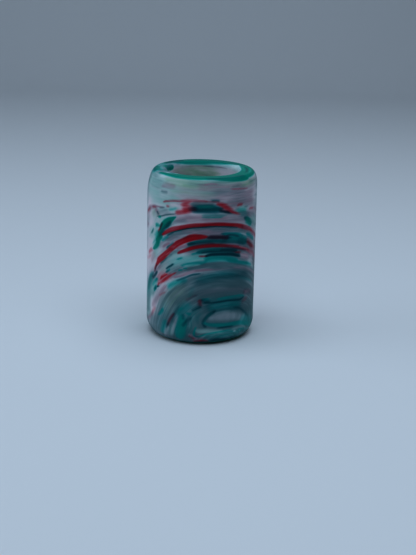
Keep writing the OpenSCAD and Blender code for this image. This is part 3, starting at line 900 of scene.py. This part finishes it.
# %% The lobe and its hook
HOOK = [
    # shades and lines along the lobe
    ("deep", 0.4, 0.5, 0.35, [(-5, 7.7), (10, 8.1), (30, 8.3), (48, 8.0), (58, 7.4)]),
    ("teal", 0.2, 0.35, 0.3, [(0, 7.9), (20, 8.4), (40, 8.2)]),
    ("white", 0.35, 0.4, 0.12, [(-20, 6.0), (-10, 6.6), (10, 7.0), (30, 7.0)]),
    ("white", 0.5, 0.4, 0.12, [(-14, 4.7), (-9, 5.1), (-2, 5.4)]),
    ("mauve", 0.3, 0.3, 0.25, [(-5, 6.3), (15, 6.6), (40, 6.5), (60, 5.9)]),
    ("plum", 0.1, 0.13, 0.28, [(-14.5, 5.4), (-11, 5.7), (-7.5, 5.95), (-3.5, 6.12)]),
    ("deep", 0.7, 0.5, 0.3, [(8, 4.6), (25, 4.7), (48, 4.5)]),
    ("teal", 0.4, 0.4, 0.4, [(10, 4.7), (28, 4.8), (46, 4.6)]),
    ("white", 0.4, 0.3, 0.14, [(14, 4.85), (22, 4.9), (32, 4.85)]),
    # the teal line
    ("teal", 0.16, 0.14, 0.4, [(18, 5.5), (30, 5.55), (44, 5.5), (53, 5.3)]),
    ("teal", 0.3, 0.2, 0.14, [(4, 5.5), (20, 5.5), (36, 5.5), (52, 5.35)]),
    # its dark core
    ("deep", (0.3, 0.26, 0.1), 0.14, 0.6, [(3, 5.45), (6, 5.4), (10, 5.35)]),
    ("teal", 0.12, 0.12, 0.5, [(3, 5.6), (9, 5.6)]),
    ("deep", 0.1, 0.09, 0.8, [(4, 5.2), (12, 5.2), (20, 5.25), (30, 5.3), (40, 5.2), (47, 5.12),
        (53.5, 5.3)]),
    ("teal", 0.07, 0.07, 0.7, [(18, 5.62), (28, 5.72), (44, 5.66), (54, 5.35)]),
    # the hook
    ("plum", 0.18, 0.18, 0.34, [(0.6, 5.45), (-0.5, 5.1), (1, 4.85)]),
    ("red", 0.13, 0.14, 0.3, [(0.8, 5.6), (0, 5.3), (1.2, 4.85)]),
    # dabs and lines on the right
    ("red", 0.2, 0.2, 0.22, [(51, 4.8), (55, 4.95), (59, 5.0)]),
    ("plum", 0.2, 0.25, 0.35, [(52, 6.0), (60, 5.75), (66, 5.45)]),
    ("teal", 0.1, 0.12, 0.4, [(44, 7.9), (58, 7.3), (70, 6.6)]),
    ("white", 0.05, 0.08, 0.25, [(66, 4.1), (76, 3.6), (88, 2.9)]),
    ("white", 0.05, 0.08, 0.25, [(64, 7.0), (76, 6.2), (88, 5.4)]),
    ("mauve", 0.2, 0.2, 0.4, [(54, 5.75), (59, 5.85), (65, 5.8)]),
    # a dark line left of the hook
    ("deep", 0.16, 0.12, 0.6, [(-8, 4.3), (-3, 4.6), (1, 4.75)]),
]
print(len(HOOK), "threads of the lobe and the hook")

# %% [markdown]
# The eye looks like the cut end of a fold: a pale lump with a dark line bent round it. Under it a teal
# line runs out to the right edge, and a mint tongue pushes in from the left. Rings of one distance would
# make it look like a target, so every line has a path of its own. Two short white threads are the small
# glint beside the tongue.

# %% The eye and the lines round it
EYE_THREADS = [
    # the pale eye
    ("slate", (0.3, 0.55, 0.55, 0.35), 0.2, 0.8, [(8, 3.35), (20, 3.5), (32, 3.45), (45, 3.15),
        (60, 2.4)]),
    ("white", (0.3, 0.5, 0.5, 0.35), 0.25, 0.46, [(9, 3.35), (20, 3.5), (32, 3.45), (45, 3.15),
        (60, 2.4)]),
    ("mauve", (0.3, 0.45, 0.45, 0.3), 0.25, 0.1, [(14, 3.4), (25, 3.55), (38, 3.4), (50, 2.9)]),
    ("white", 0.12, 0.15, 0.25, [(16, 3.9), (24, 4.05), (34, 4.05)]),
    # the dark line round it
    ("deep", 0.16, 0.12, 0.8, [(17, 4.3), (12, 3.95), (8, 3.6), (4.5, 3.1), (4, 2.7), (7, 2.3)]),
    ("teal", 0.1, 0.12, 0.45, [(14, 4.1), (9, 3.7), (6, 3.2), (6, 2.7)]),
    ("deep", 0.1, 0.14, 0.6, [(38, 4.35), (46, 4.1), (52, 3.65), (58, 3.15), (64, 2.6)]),
    # the teal line under it
    ("teal", 0.22, 0.12, 0.85, [(4, 2.85), (12, 2.6), (20, 2.5), (30, 2.42), (40, 2.38), (48, 2.28),
        (55, 2.05), (62, 1.8), (70, 1.4), (80, 0.97), (92, 0.6)]),
    # washes at the right edge
    ("white", 0.9, 0.6, 0.2, [(58, 7.4), (66, 7.0), (74, 6.4)]),
    ("white", 0.5, 0.4, 0.14, [(56, 5.4), (64, 5.1), (72, 4.6)]),
    ("teal", 0.8, 0.5, 0.1, [(56, 2.9), (66, 2.4), (76, 1.9)]),
    ("white", 0.8, 0.5, 0.22, [(48, 2.4), (58, 2.4), (68, 2.2), (78, 1.9)]),
    ("teal", 0.45, 0.35, 0.35, [(50, 2.75), (62, 2.25), (72, 1.75), (82, 1.3)]),
    ("mint", 0.08, 0.1, 0.45, [(58, 1.3), (68, 0.95), (80, 0.55)]),
    # the mint tongue and the lines round it
    ("deep", 0.07, 0.07, 0.8, [(18, 2.15), (28, 2.17), (38, 2.13)]),
    ("mint", 0.28, 0.14, 0.72, [(-3.5, 1.85), (4, 1.87), (12, 1.83), (26, 1.7)]),
    ("teal", 0.09, 0.06, 0.9, [(-3, 2.4), (-4.6, 2.0), (-5.5, 1.5), (-4, 1.17), (-1, 1.15), (3, 1.3),
        (8, 1.47), (20, 1.66), (36, 1.78)]),
    ("deep", 0.08, 0.06, 0.85, [(-5, 1.35), (-3, 1.13), (0, 1.17)]),
    ("mint", 0.08, 0.08, 0.6, [(2, 1.12), (9, 1.25), (18, 1.42)]),
    ("teal", 0.4, 0.35, 0.34, [(6, 1.15), (20, 1.25), (36, 1.3), (52, 1.1), (70, 0.7)]),
    ("mint", 0.12, 0.12, 0.35, [(4, 1.35), (14, 1.5), (28, 1.55)]),
    # fine lines right of it
    ("white", 0.07, 0.1, 0.25, [(39, 1.92), (50, 1.8), (56, 1.57), (62, 1.25), (70, 0.95), (80, 0.6)]),
    ("white", 0.05, 0.07, 0.22, [(36, 1.6), (44, 1.25), (52, 0.9), (60, 0.6)]),
    ("mint", 0.1, 0.1, 0.5, [(36, 1.85), (46, 1.75), (54, 1.5)]),
    ("teal", 0.1, 0.1, 0.7, [(45, 1.6), (51, 1.47), (57, 1.25)]),
    ("teal", 0.07, 0.08, 0.7, [(22, 1.65), (32, 1.68), (38, 1.5)]),
    # the glint
    ("white", 0.1, 0.05, 0.7, [(39, 1.5), (42, 1.4)]),
    ("white", 0.05, 0.05, 0.5, [(47, 1.38), (49, 1.33)]),
]
print(len(EYE_THREADS), "threads of the eye")

# %% [markdown]
# ## The foot of the bead
# At the foot the streaks stand nearly upright and fan out like feathers. A wave texture bent into a fan
# could give many like ones. There are only a few here and each has another colour, so they are laid one
# by one.

# %% The feathers at the foot
FEATHERS = [
    # washes under them
    ("white", 0.5, 0.5, 0.16, [(-50, 3.2), (-45, 4.9), (-38, 5.9), (-28, 6.5)]),
    ("mauve", 0.45, 0.4, 0.08, [(-33, 5.4), (-22, 6.2), (-12, 6.6)]),
    ("olive", 1.0, 0.6, 0.14, [(-38, 4.3), (-28, 5.5), (-15, 6.3)]),
    ("teal", 0.5, 0.5, 0.1, [(-45, 1.2), (-42, 2.8), (-38, 4.3)]),
    ("white", 0.8, 0.6, 0.2, [(-50, 1.6), (-44, 3.4), (-34, 4.6)]),
    ("teal", 0.9, 0.7, 0.18, [(-16, 2.0), (-13, 3.2), (-6, 4.0)]),
    ("mauve", 0.6, 0.5, 0.12, [(-28, 3.8), (-16, 4.9), (-6, 5.4)]),
    ("teal", 0.4, 0.4, 0.34, [(-24, 3.6), (-19, 4.4), (-12, 4.9)]),
    ("white", 0.16, 0.18, 0.28, [(-40, 0.8), (-37, 1.7), (-33.5, 2.8), (-29, 4.0), (-24, 4.8)]),
    ("deep", 0.12, 0.14, 0.25, [(-33, 1.2), (-30.5, 2.4), (-27, 3.5), (-22, 4.6)]),
    ("teal", 0.14, 0.2, 0.12, [(-11, 5.8), (-9, 6.4), (-6, 7.0)]),
    ("mint", 0.1, 0.14, 0.35, [(-11, 2.2), (-9, 3.0), (-5, 3.7)]),
    ("deep", 0.1, 0.12, 0.3, [(-13, 2.4), (-10, 3.2)]),
    ("mint", 0.5, 0.4, 0.14, [(-13, 2.3), (-6, 2.6), (2, 2.7)]),
    # the broad teal feather
    ("teal", (0.25, 0.5, 0.6, 0.6), 0.18, 0.8, [(-18, 3.6), (-18.5, 2.6), (-20, 1.7), (-21.5, 0.8)]),
    ("white", 0.6, 0.4, 0.12, [(-16, 3.0), (-12, 3.9), (-7, 4.6)]),
    ("green", 0.4, 0.3, 0.3, [(-17.5, 3.2), (-19, 2.3), (-21, 1.2)]),
    ("deep", 0.14, 0.14, 0.4, [(-17, 3.7), (-17, 3.1)]),
    ("deep", 0.15, 0.14, 0.5, [(-18, 2.3), (-14, 2.9), (-8.5, 3.45)]),
    ("teal", 0.1, 0.1, 0.6, [(-23, 4.1), (-17.5, 4.5)]),
    ("teal", 0.12, 0.1, 0.6, [(-14, 3.9), (-9, 3.8)]),
    # pale feathers on its left
    ("white", 0.18, 0.15, 0.4, [(-23, 3.7), (-25.5, 2.7), (-28, 1.9), (-30, 1.0)]),
    ("mauve", 0.14, 0.15, 0.4, [(-24, 3.6), (-26.5, 2.6), (-29, 1.5)]),
    ("mint", 0.25, 0.2, 0.45, [(-33, 0.9), (-30.5, 1.7), (-28, 2.5)]),
    # the plum feather and teal ones at the left
    ("plum", 0.14, 0.13, 0.28, [(-36, 2.0), (-34, 2.5), (-31, 3.1), (-27, 3.7)]),
    ("red", 0.1, 0.12, 0.14, [(-36, 2.1), (-34, 2.6), (-31, 3.1), (-27.5, 3.6)]),
    ("deep", 0.08, 0.1, 0.6, [(-37, 1.7), (-34.5, 2.4)]),
    ("teal", 0.22, 0.2, 0.55, [(-44, 1.0), (-41, 1.7), (-38, 2.7)]),
    ("teal", 0.15, 0.15, 0.6, [(-48, 3.0), (-45, 3.4), (-41.5, 3.75)]),
    ("white", 1.0, 0.6, 0.1, [(-66, 1.4), (-50, 1.3), (-20, 1.2)]),
]
print(len(FEATHERS), "threads of the feathers")

# %% [markdown]
# The base edge rounds inwards and gathers clay from the streaks above. A mauve and red dab in front and
# a dark one beside it are all that stands out. The edge could be left to the noise, but then the foot
# would look cut off from its streaks, so a few short threads finish it.

# %% The edge of the base
BASE_EDGE = [
    # pale clay
    ("mint", 0.7, 0.5, 0.2, [(-4, 1.2), (20, 1.4), (44, 1.3), (64, 1.1)]),
    ("white", 0.14, 0.14, 0.4, [(-39, 0.8), (-36.5, 1.4), (-33.5, 2.0)]),
    # the red and mauve dab in front
    ("mauve", 0.16, 0.15, 0.8, [(-11, 1.35), (-7, 1.2), (-3, 0.85)]),
    ("red", 0.1, 0.12, 0.4, [(-11, 1.2), (-8, 1.0), (-5, 0.8)]),
    ("mauve", 0.3, 0.25, 0.6, [(-10, 0.5), (0, 0.7), (9, 0.6)]),
    ("red", 0.17, 0.14, 0.48, [(-6, 0.4), (3, 0.6), (10, 0.5)]),
    ("plum", 0.1, 0.1, 0.5, [(-3, 0.35), (4, 0.45), (12, 0.4)]),
    # the dark one beside it
    ("deep", 0.3, 0.25, 0.8, [(12, 0.6), (20, 0.6), (32, 0.5), (47, 0.5)]),
    # thin lines
    ("mauve", 0.14, 0.15, 0.5, [(48, 0.95), (58, 0.6)]),
    ("mauve", 0.1, 0.12, 0.4, [(-62, 0.75), (-45, 0.7), (-30, 0.6), (-16, 0.4)]),
    ("deep", 0.08, 0.1, 0.3, [(-66, 0.55), (-48, 0.45), (-32, 0.35)]),
]
print(len(BASE_EDGE), "threads at the edge of the base")

# %% [markdown]
# ## The ends and the bore
# The end face has a ring of green that is open on the left. There the clay is a pale grey-green with a
# few green spots. A ring could be a texture of distance from the axis, but this one changes its width
# all the way round, so it is threads as well. On the end a path is in degrees and mm out from the axis.

# %% The end face
END = [
    # pale clay on the left and at the back
    ("mint", 0.9, 0.3, 0.6, [(-140, 5.0), (-110, 5.1), (-85, 5.1), (-55, 5.2)]),
    ("slate", 0.9, 0.3, 0.45, [(-130, 5.1), (-100, 5.1), (-75, 5.1), (-58, 5.2)]),
    ("slate", 0.35, 0.25, 0.6, [(-42, 4.5), (-58, 4.45), (-76, 4.4)]),
    ("green", 0.6, 0.4, 0.15, [(-128, 5.0), (-100, 5.1), (-72, 5.1)]),
    ("slate", 0.34, 0.25, 0.4, [(-70, 4.15), (-95, 4.1), (-125, 4.1), (-140, 4.1)]),
    ("mauve", 0.3, 0.2, 0.2, [(-70, 4.15), (-95, 4.1), (-125, 4.1)]),
    ("mint", 0.25, 0.2, 0.4, [(80, 4.2), (110, 4.2), (140, 4.2), (165, 4.2)]),
    ("slate", 0.16, 0.16, 0.45, [(66, 4.25), (84, 4.22), (100, 4.22), (115, 4.22)]),
    ("green", 0.16, 0.09, 0.9, [(-94, 4.36), (-100, 4.32), (-106, 4.3)]),
    ("mint", 0.4, 0.3, 0.6, [(96, 4.4), (115, 4.35), (135, 4.3), (155, 4.3)]),
    # the back half of the ring
    ("green", (0.55, 0.74, 0.8, 0.82, 0.84, 0.88, 0.8, 0.4), 0.1, 0.97, [(-118, 4.98), (-136, 4.88),
        (-160, 4.78), (180, 4.78), (162, 4.88), (145, 5.0), (128, 5.18), (108, 5.6)]),
    ("deep", 0.4, 0.3, 0.4, [(-118, 4.9), (-134, 4.8), (-150, 4.8)]),
    # its dark edge, and the front half
    ("deep", 0.14, 0.16, 0.8, [(140, 5.95), (120, 5.9), (104, 5.9), (95, 5.9)]),
    ("green", (0.1, 0.2, 0.42, 0.7, 0.8, 0.82, 0.82, 0.82, 0.85, 0.8, 0.75, 0.65), 0.08, 0.97, [(-64, 5.75),
        (-56, 5.4), (-44, 5.15), (-30, 4.95), (-15, 4.88), (0, 4.87), (20, 4.9), (40, 5.0), (60, 5.15),
        (80, 5.15), (100, 5.1), (120, 5.0)]),
    # green spots in the gap
    ("green", 0.34, 0.18, 0.9, [(-73, 5.3), (-84, 5.25), (-96, 5.2)]),
    ("deep", 0.18, 0.2, 0.5, [(-74, 5.5), (-84, 5.4), (-95, 5.3)]),
    ("green", 0.14, 0.14, 0.5, [(-96, 5.4), (-112, 5.3), (-128, 5.1)]),
    ("teal", 0.4, 0.3, 0.35, [(-70, 4.9), (-80, 5.5), (-90, 5.7)]),
    # shades and light lines
    ("deep", 1.0, 0.3, 0.12, [(-130, 4.9), (-155, 4.9), (180, 4.9), (150, 4.9), (120, 5.0)]),
    ("deep", 0.4, 0.3, 0.2, [(56, 5.6), (40, 5.6), (22, 5.6), (5, 5.5)]),
    ("deep", 0.06, 0.08, 0.5, [(105, 5.0), (88, 5.05), (70, 5.1)]),
    ("mint", 0.07, 0.1, 0.4, [(112, 4.72), (96, 4.7), (80, 4.7)]),
    ("mint", 0.05, 0.08, 0.35, [(100, 5.4), (86, 5.4), (72, 5.45)]),
    ("mauve", 0.1, 0.12, 0.3, [(-70, 5.95), (-85, 6.0), (-100, 5.95)]),
]
print(len(END), "threads on the end")

# %% [markdown]
# The mouth shows the first two millimetres of the bore. Its wall fades from lilac grey on the left, over
# olive grey at the back, to a pale mint on the right, and a light line follows the lip. One plain colour
# would do deeper down, where nothing is seen, but not here, so a few wide threads make the wall. In the
# bore a path is in degrees and mm down from the top.

# %% The bore
BORE = [
    # the wall
    ("slate", 2.5, 1.5, 0.3, [(-180, 7.5), (-120, 7.5), (-60, 7.5), (0, 7.5), (60, 7.5), (120, 7.5),
        (180, 7.5)]),
    ("mint", 1.6, 0.6, 0.12, [(88, 1.4), (110, 1.6), (130, 1.4)]),
    ("mint", 0.4, 0.3, 0.3, [(80, 0.3), (110, 0.35), (140, 0.4), (165, 0.5)]),
    ("olive", 0.9, 0.6, 0.45, [(-125, 1.7), (-150, 1.5), (180, 1.6), (160, 1.5)]),
    ("olive", 0.6, 0.5, 0.45, [(-168, 1.9), (180, 1.9), (166, 1.8)]),
    ("slate", 0.5, 0.5, 0.14, [(-170, 2.1), (180, 2.2), (166, 2.0)]),
    ("mauve", 0.4, 0.4, 0.2, [(-160, 0.6), (-145, 0.7), (-128, 0.6)]),
    ("plum", 0.3, 0.3, 0.12, [(-118, 1.2), (-140, 1.6), (-160, 1.9)]),
    # the light line along the lip, and fine dark lines under it at the lip's lower edge: painted shade of
    # the crease between lip and bore
    ("white", 0.12, 0.1, 0.7, [(-150, 0.3), (-170, 0.34), (170, 0.34), (140, 0.34), (118, 0.3)]),
    ("mauve", 0.05, 0.06, 0.5, [(-150, 0.54), (-165, 0.54), (180, 0.54), (160, 0.54), (135, 0.54)]),
    ("slate", 0.05, 0.06, 0.25, [(180, 0.54), (160, 0.54), (135, 0.54)]),
    # pale clay on the right
    ("white", 0.5, 0.35, 0.6, [(96, 0.9), (112, 0.85), (128, 0.8), (142, 0.7)]),
    ("white", 0.3, 0.3, 0.4, [(142, 1.2), (152, 0.9), (160, 0.6)]),
    # the green spot that runs in
    ("green", 0.38, 0.1, 0.95, [(-90, 0.08), (-105, 0.18), (-122, 0.32)]),
    ("deep", 0.12, 0.12, 0.35, [(-94, 0.2), (-104, 0.22), (-114, 0.3)]),
]
print(len(BORE), "threads in the bore")

# %% [markdown]
# ## Laying the threads
# A thread in the real clay has a width and a soft edge wherever it lies: on the side, over the rim or in
# the bore. Drawn on a flat sheet and wrapped round, it would be pinched at the rims. So each path is
# rounded off to a smooth curve, put on the skin in three dimensions, and every point of the skin asks how
# far away it is.

# %% Gather the threads of the side
side_rows = (TOP_FIELDS + LOW_FIELDS + FAINT_WASHES + RIM_STREAKS + LENS + RIGHT_DABS + LEFT_LINES
             + ARROWHEAD + FIRST_ARC + LOWER_ARCS + ARC_TRACES + BANDS + RED_CLUSTER + LOWER_LEFT + HOOK
             + EYE_THREADS + FEATHERS + BASE_EDGE)
print(len(side_rows), "threads on the side")

# %% Round off a path


def unwound(path):
    """Adds whole turns so that a path over the back runs on, and never jumps from 180 to -180."""
    path = np.array(path, float)
    path[:, 0] = np.degrees(np.unwrap(np.radians(path[:, 0])))
    return path


def smooth_path(path, per_span=5):
    """A Catmull-Rom curve through the points: a cubic per span, whose ends point at their neighbours."""
    p = np.vstack([2 * path[0] - path[1], path, 2 * path[-1] - path[-2]])
    t = np.linspace(0, 1, per_span, endpoint=False)[None, :, None]
    a, b, c, d = (p[i:len(p) - 3 + i, None, :] for i in range(4))
    curve = b + 0.5 * t * (c - a + t * (2 * a - 5 * b + 4 * c - d + t * (3 * b - a - 3 * c + d)))
    return np.vstack([curve.reshape(-1, path.shape[1]), path[-1:]])


first_path = side_rows[0][-1]
print(len(first_path), "points of the first path became", len(smooth_path(unwound(first_path))))

# %% Put a path on the skin


def on_skin(where, turn, value, turned_over):
    """Points for turns and heights on the side, radii on an end or depths in the bore."""
    turn = 180 - turn if turned_over else turn
    if where == "end":
        return place(turn, value, 0 * value if turned_over else length + 0 * value)
    height = length - value if turned_over != (where == "bore") else value
    if where == "bore":
        return place(turn, BORE_RADIUS + 0 * value, height)
    top_w, top_h = top_edge(turn)
    over = np.clip((height - length + top_h) / top_h, 0, 1)
    under = np.clip((BASE_HEIGHT - height) / BASE_HEIGHT, 0, 1)
    inward = top_w * (1 - np.sqrt(1 - over ** 2)) + BASE_WIDTH * (1 - np.sqrt(1 - under ** 2))
    return place(turn, outer_radius - inward, height)


print("the front at half height, in mm:", on_skin("side", 0.0, length / 2, False).round(2))

# %% Cover the skin with a thread
CLAYS = ["white", "mint", "mauve", "olive", "slate", "teal", "plum", "green", "deep", "red"]
BLED = 1.3
END_BLUNTNESS = 6


def cover(points, thread, half, soft):
    """How far each point is covered: 1 well inside the thread's half width, 0 outside, smooth between.

    The thread is a chain of straight pieces. A point's depth in it is the half width at the nearest
    place, less the distance to it, and the smooth step runs over `soft` on either side of depth zero."""
    reach = half.max() + soft
    near = np.all((points > thread.min(0) - reach) & (points < thread.max(0) + reach), axis=1)
    found = np.zeros(len(points))
    if near.any():
        start, run = thread[:-1], np.diff(thread, axis=0)
        away = points[near][:, None, :] - start[None]
        along = np.clip((away * run).sum(2) / np.maximum((run * run).sum(1), 1e-9), 0, 1)
        gap = np.linalg.norm(away - along[..., None] * run, axis=2)
        depth = (half[:-1] + along * np.diff(half) - gap).max(1)
        step = np.clip((depth + soft) / (2 * soft), 0, 1)
        found[near] = step * step * (3 - 2 * step)
    return found


def paint(shares, points, where, row, turned_over):
    """Lays one row of a table over the clay shares: old shares shrink by the cover and its own grows.

    Every edge is softer than the row says by the share that the kneaded clay has bled."""
    clay, half, soft, strength, path = row
    soft = BLED * soft
    path = smooth_path(unwound(path))
    t = np.linspace(0, 1, len(path))
    half = np.interp(t, np.linspace(0, 1, np.size(half)), np.atleast_1d(half))
    half = half * np.sqrt(1 - np.abs(2 * t - 1) ** END_BLUNTNESS)
    thread = on_skin(where, path[:, 0], path[:, 1], turned_over)
    covered = strength * cover(points, thread, half, soft)[:, None]
    own = np.eye(len(CLAYS))[CLAYS.index(clay)]
    return shares * (1 - covered) + covered * own


print(len(CLAYS), "clays, edges softened by", BLED)

# %% [markdown]
# When the clay was rolled, the ends of its streaks were combed out along the flow. Frayed ends could be
# drawn, a hair-fine thread for each, but there are hundreds. It is simpler to move the places where the
# skin is looked up. Every point is shifted to and fro along the flow by a smooth random amount of at most
# a few tenths of a millimetre. It is calm at the eye and at both ends, where the streaks are clean.

# %% Comb the skin
COMB_LENGTH, COMB_QUICKNESS, COMB_WAVES = 0.14, (2.0, 2.0, 7.0), 14
CALM_BY_EYE, CALM_BY_BASE, CALM_BY_TOP = (1.6, 3.2), (0.8, 2.6), (0.8, 2.0)


def flow_way(points, across):
    """Unit arrows on the skin along which the distance across the flow stays the same.

    They are the two grid directions, each taken as many times as the distance grows along the other."""
    wrapped = np.concatenate([points[:, -1:], points, points[:, :1]], axis=1)
    sideways = (wrapped[:, 2:] - wrapped[:, :-2]) / 2
    upwards = np.gradient(points, axis=0)
    wrapped = np.concatenate([across[:, -1:], across, across[:, :1]], axis=1)
    grows_sideways = (wrapped[:, 2:] - wrapped[:, :-2]) / 2
    grows_upwards = np.gradient(across, axis=0)
    way = sideways * grows_upwards[..., None] - upwards * grows_sideways[..., None]
    return way / np.maximum(np.linalg.norm(way, axis=-1, keepdims=True), 1e-9)


def waviness(places, quickness, seed, waves):
    """A smooth random value: the mean of sine waves in random directions, `quickness` radians per unit."""
    chance = np.random.default_rng(seed)
    wave = chance.normal(0, 1, (waves, 3)) * quickness
    return np.sin(places @ wave.T + chance.uniform(0, 2 * np.pi, waves)).sum(-1) / math.sqrt(waves)


near_eye = np.minimum(away_from(turns, height, *EYE, EYE_WIDENESS),
                      away_from(180 - turns, length - height, *EYE, EYE_WIDENESS))
calm = smooth_step(*CALM_BY_EYE, near_eye) * smooth_step(*CALM_BY_BASE, height)
calm = calm * smooth_step(*CALM_BY_TOP, length - height)
comb = COMB_LENGTH * calm * waviness(grain, COMB_QUICKNESS, seed=5, waves=COMB_WAVES)
combed = (skin_points + comb[..., None] * flow_way(skin_points, across)).reshape(-1, 3)
print(f"shifted by up to {np.abs(comb).max():.2f} mm")

# %% Lay the threads
shares = np.zeros((len(combed), len(CLAYS)))
shares[:, 0] = 1
for where, table in (("bore", BORE), ("side", side_rows), ("end", END)):
    for row in table:
        shares = paint(shares, combed, where, row, turned_over=True)
        shares = paint(shares, combed, where, row, turned_over=False)
print("mean shares:", {clay: round(float(s), 3) for clay, s in zip(CLAYS, shares.mean(0))})

# %% [markdown]
# ## The clays on the mesh
# The shader has to know how much of each clay lies at a point. The shares could be written into a
# picture, but its pixels would show at the rims, so they are kept on the mesh itself, as three vectors of
# three clays each. They are turned into coats first: a coat says how much of its clay lies over all the
# clays before it. A fourth vector keeps the flow, for the noise. Between two points of the mesh the
# shader blends them.

# %% Store the clays and the flow on the mesh


def covers(shares):
    """Turns shares into a stack of coats: each clay's part of what it and the clays before it add up to."""
    so_far = np.cumsum(shares, axis=1)
    return shares[:, 1:] / np.maximum(so_far[:, 1:], 1e-9)


def store(mesh, name, vectors):
    """Keeps one vector for every point of the mesh."""
    attribute = mesh.attributes.new(name, "FLOAT_VECTOR", "POINT")
    attribute.data.foreach_set("vector", vectors.astype(np.float32).ravel())


coats = covers(shares)
store(bead_mesh, "pale_coats", coats[:, :3])
store(bead_mesh, "middle_coats", coats[:, 3:6])
store(bead_mesh, "strong_coats", coats[:, 6:])
store(bead_mesh, "grain", grain.reshape(-1, 3))
print("stored:", [a.name for a in bead_mesh.attributes if a.data_type == "FLOAT_VECTOR"])

# %% [markdown]
# ## The clay
# Baked clay is a soft plastic filled with pigment: it shines a little where the thumb has rubbed it.
# There are ten clays, each of one colour. White is the ground, and the coats of the nine others are laid
# over it one after the other. A fine noise drawn out along the flow makes a coat ragged where it is
# neither full nor missing. Where two clays are kneaded together each pigment swallows its part of the
# light, so a little green in white gives a clear pale teal and not a grey. Mixing the plain colours
# would miss that. So the mix is made on the logarithms of the colours, which add up as the pigments do,
# and is turned back into a colour at the end.

# %% Choose the colours of the clays
COLOURS = {
    "white": (0.76, 0.70, 0.74),
    "mint": (0.33, 0.56, 0.53),
    "mauve": (0.30, 0.19, 0.24),
    "olive": (0.20, 0.38, 0.24),
    "slate": (0.054, 0.120, 0.136),
    "teal": (0.003, 0.215, 0.200),
    "plum": (0.045, 0.014, 0.026),
    "green": (0.002, 0.200, 0.145),
    "deep": (0.003, 0.040, 0.053),
    "red": (0.32, 0.011, 0.018),
}
print("white reflects", COLOURS["white"], "and deep", COLOURS["deep"])

# %% Add nodes with little typing
clay = bpy.data.materials.new("marbled_clay")
clay.use_nodes = True
nodes, links = clay.node_tree.nodes, clay.node_tree.links
shader = nodes["Principled BSDF"]


def node(kind, **settings):
    """Adds a node, sets its properties and gives its inputs, by name or number, a value or a link."""
    made = nodes.new(kind)
    for key, value in settings.pop("put", {}).items():
        setattr(made, key, value)
    for key, value in settings.pop("feed", {}).items():
        if isinstance(value, bpy.types.NodeSocket):
            links.new(value, made.inputs[key])
        else:
            made.inputs[key].default_value = value
    return made


def vector_math(operation, *terms):
    """One vector sum, product or the like of sockets and fixed vectors."""
    made = node("ShaderNodeVectorMath", put={"operation": operation}, feed=dict(enumerate(terms)))
    return made.outputs["Vector"]


# %% Make the coats ragged
STREAK_DETAIL, STREAK_ROUGHNESS, STREAK_BEND = 3.0, 0.6, 0.15
MOST_SWING = 0.95


def ragged(coats, scale, seed, strength):
    """Coats with streaks: the odds of each coat are multiplied by (1 + swing) / (1 - swing).

    The swing is noise between -1 and 1, so a full or a missing coat stays as it is and a thin one
    turns streaky."""
    flow = node("ShaderNodeAttribute", put={"attribute_name": "grain"}).outputs["Vector"]
    drawn = vector_math("ADD", vector_math("MULTIPLY", flow, scale), seed)
    noise = node("ShaderNodeTexNoise", feed={"Vector": drawn, "Scale": 1.0, "Detail": STREAK_DETAIL,
                                             "Roughness": STREAK_ROUGHNESS, "Distortion": STREAK_BEND})
    swing = vector_math("SUBTRACT", noise.outputs["Color"], (0.5, 0.5, 0.5))
    swing = vector_math("MULTIPLY", swing, (2 * strength,) * 3)
    swing = vector_math("MINIMUM", vector_math("MAXIMUM", swing, (-MOST_SWING,) * 3), (MOST_SWING,) * 3)
    tilt = vector_math("SUBTRACT", vector_math("MULTIPLY", coats, (2.0,) * 3), (1.0, 1.0, 1.0))
    whole = vector_math("ADD", vector_math("MULTIPLY", tilt, swing), (1.0, 1.0, 1.0))
    raised = vector_math("MULTIPLY", coats, vector_math("ADD", swing, (1.0, 1.0, 1.0)))
    return vector_math("DIVIDE", raised, whole)


# %% Mix the clays in the shader
RUBBED_ROUGHNESS, FAINT_SHINE = 0.34, 0.03
COAT_STREAKS = {
    "pale_coats": ((1.3, 1.3, 2.2), (3.1, 0.0, 0.0), 1.4),
    "middle_coats": ((1.4, 1.4, 2.4), (0.0, 0.0, 5.3), 1.2),
    "strong_coats": ((1.6, 1.6, 3.2), (0.0, 7.7, 0.0), 1.0),
}
factors = []
for name, (scale, seed, strength) in COAT_STREAKS.items():
    coats = node("ShaderNodeAttribute", put={"attribute_name": name}).outputs["Vector"]
    factors += node("ShaderNodeSeparateXYZ", feed={0: ragged(coats, scale, seed, strength)}).outputs
logarithms = tuple(math.log(part) for part in COLOURS["white"])
for name, factor in zip(CLAYS[1:], factors):
    own = tuple(math.log(part) for part in COLOURS[name])
    # inputs 4 and 5 of a vector mix are the vectors that it mixes
    mix = node("ShaderNodeMix", put={"data_type": "VECTOR"}, feed={0: factor, 4: logarithms, 5: own})
    logarithms = mix.outputs[1]
parts = node("ShaderNodeSeparateXYZ", feed={0: logarithms}).outputs
powers = [node("ShaderNodeMath", put={"operation": "EXPONENT"}, feed={0: part}) for part in parts]
mixed = node("ShaderNodeCombineColor", feed={i: power.outputs[0] for i, power in enumerate(powers)})
links.new(mixed.outputs[0], shader.inputs["Base Color"])
shader.inputs["Roughness"].default_value = RUBBED_ROUGHNESS
shader.inputs["Specular IOR Level"].default_value = FAINT_SHINE
bead_mesh.materials.append(clay)
print(len(nodes), "nodes in the clay")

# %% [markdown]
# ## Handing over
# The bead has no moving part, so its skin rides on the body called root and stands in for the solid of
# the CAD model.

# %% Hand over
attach(bead, "root")
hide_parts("bead")
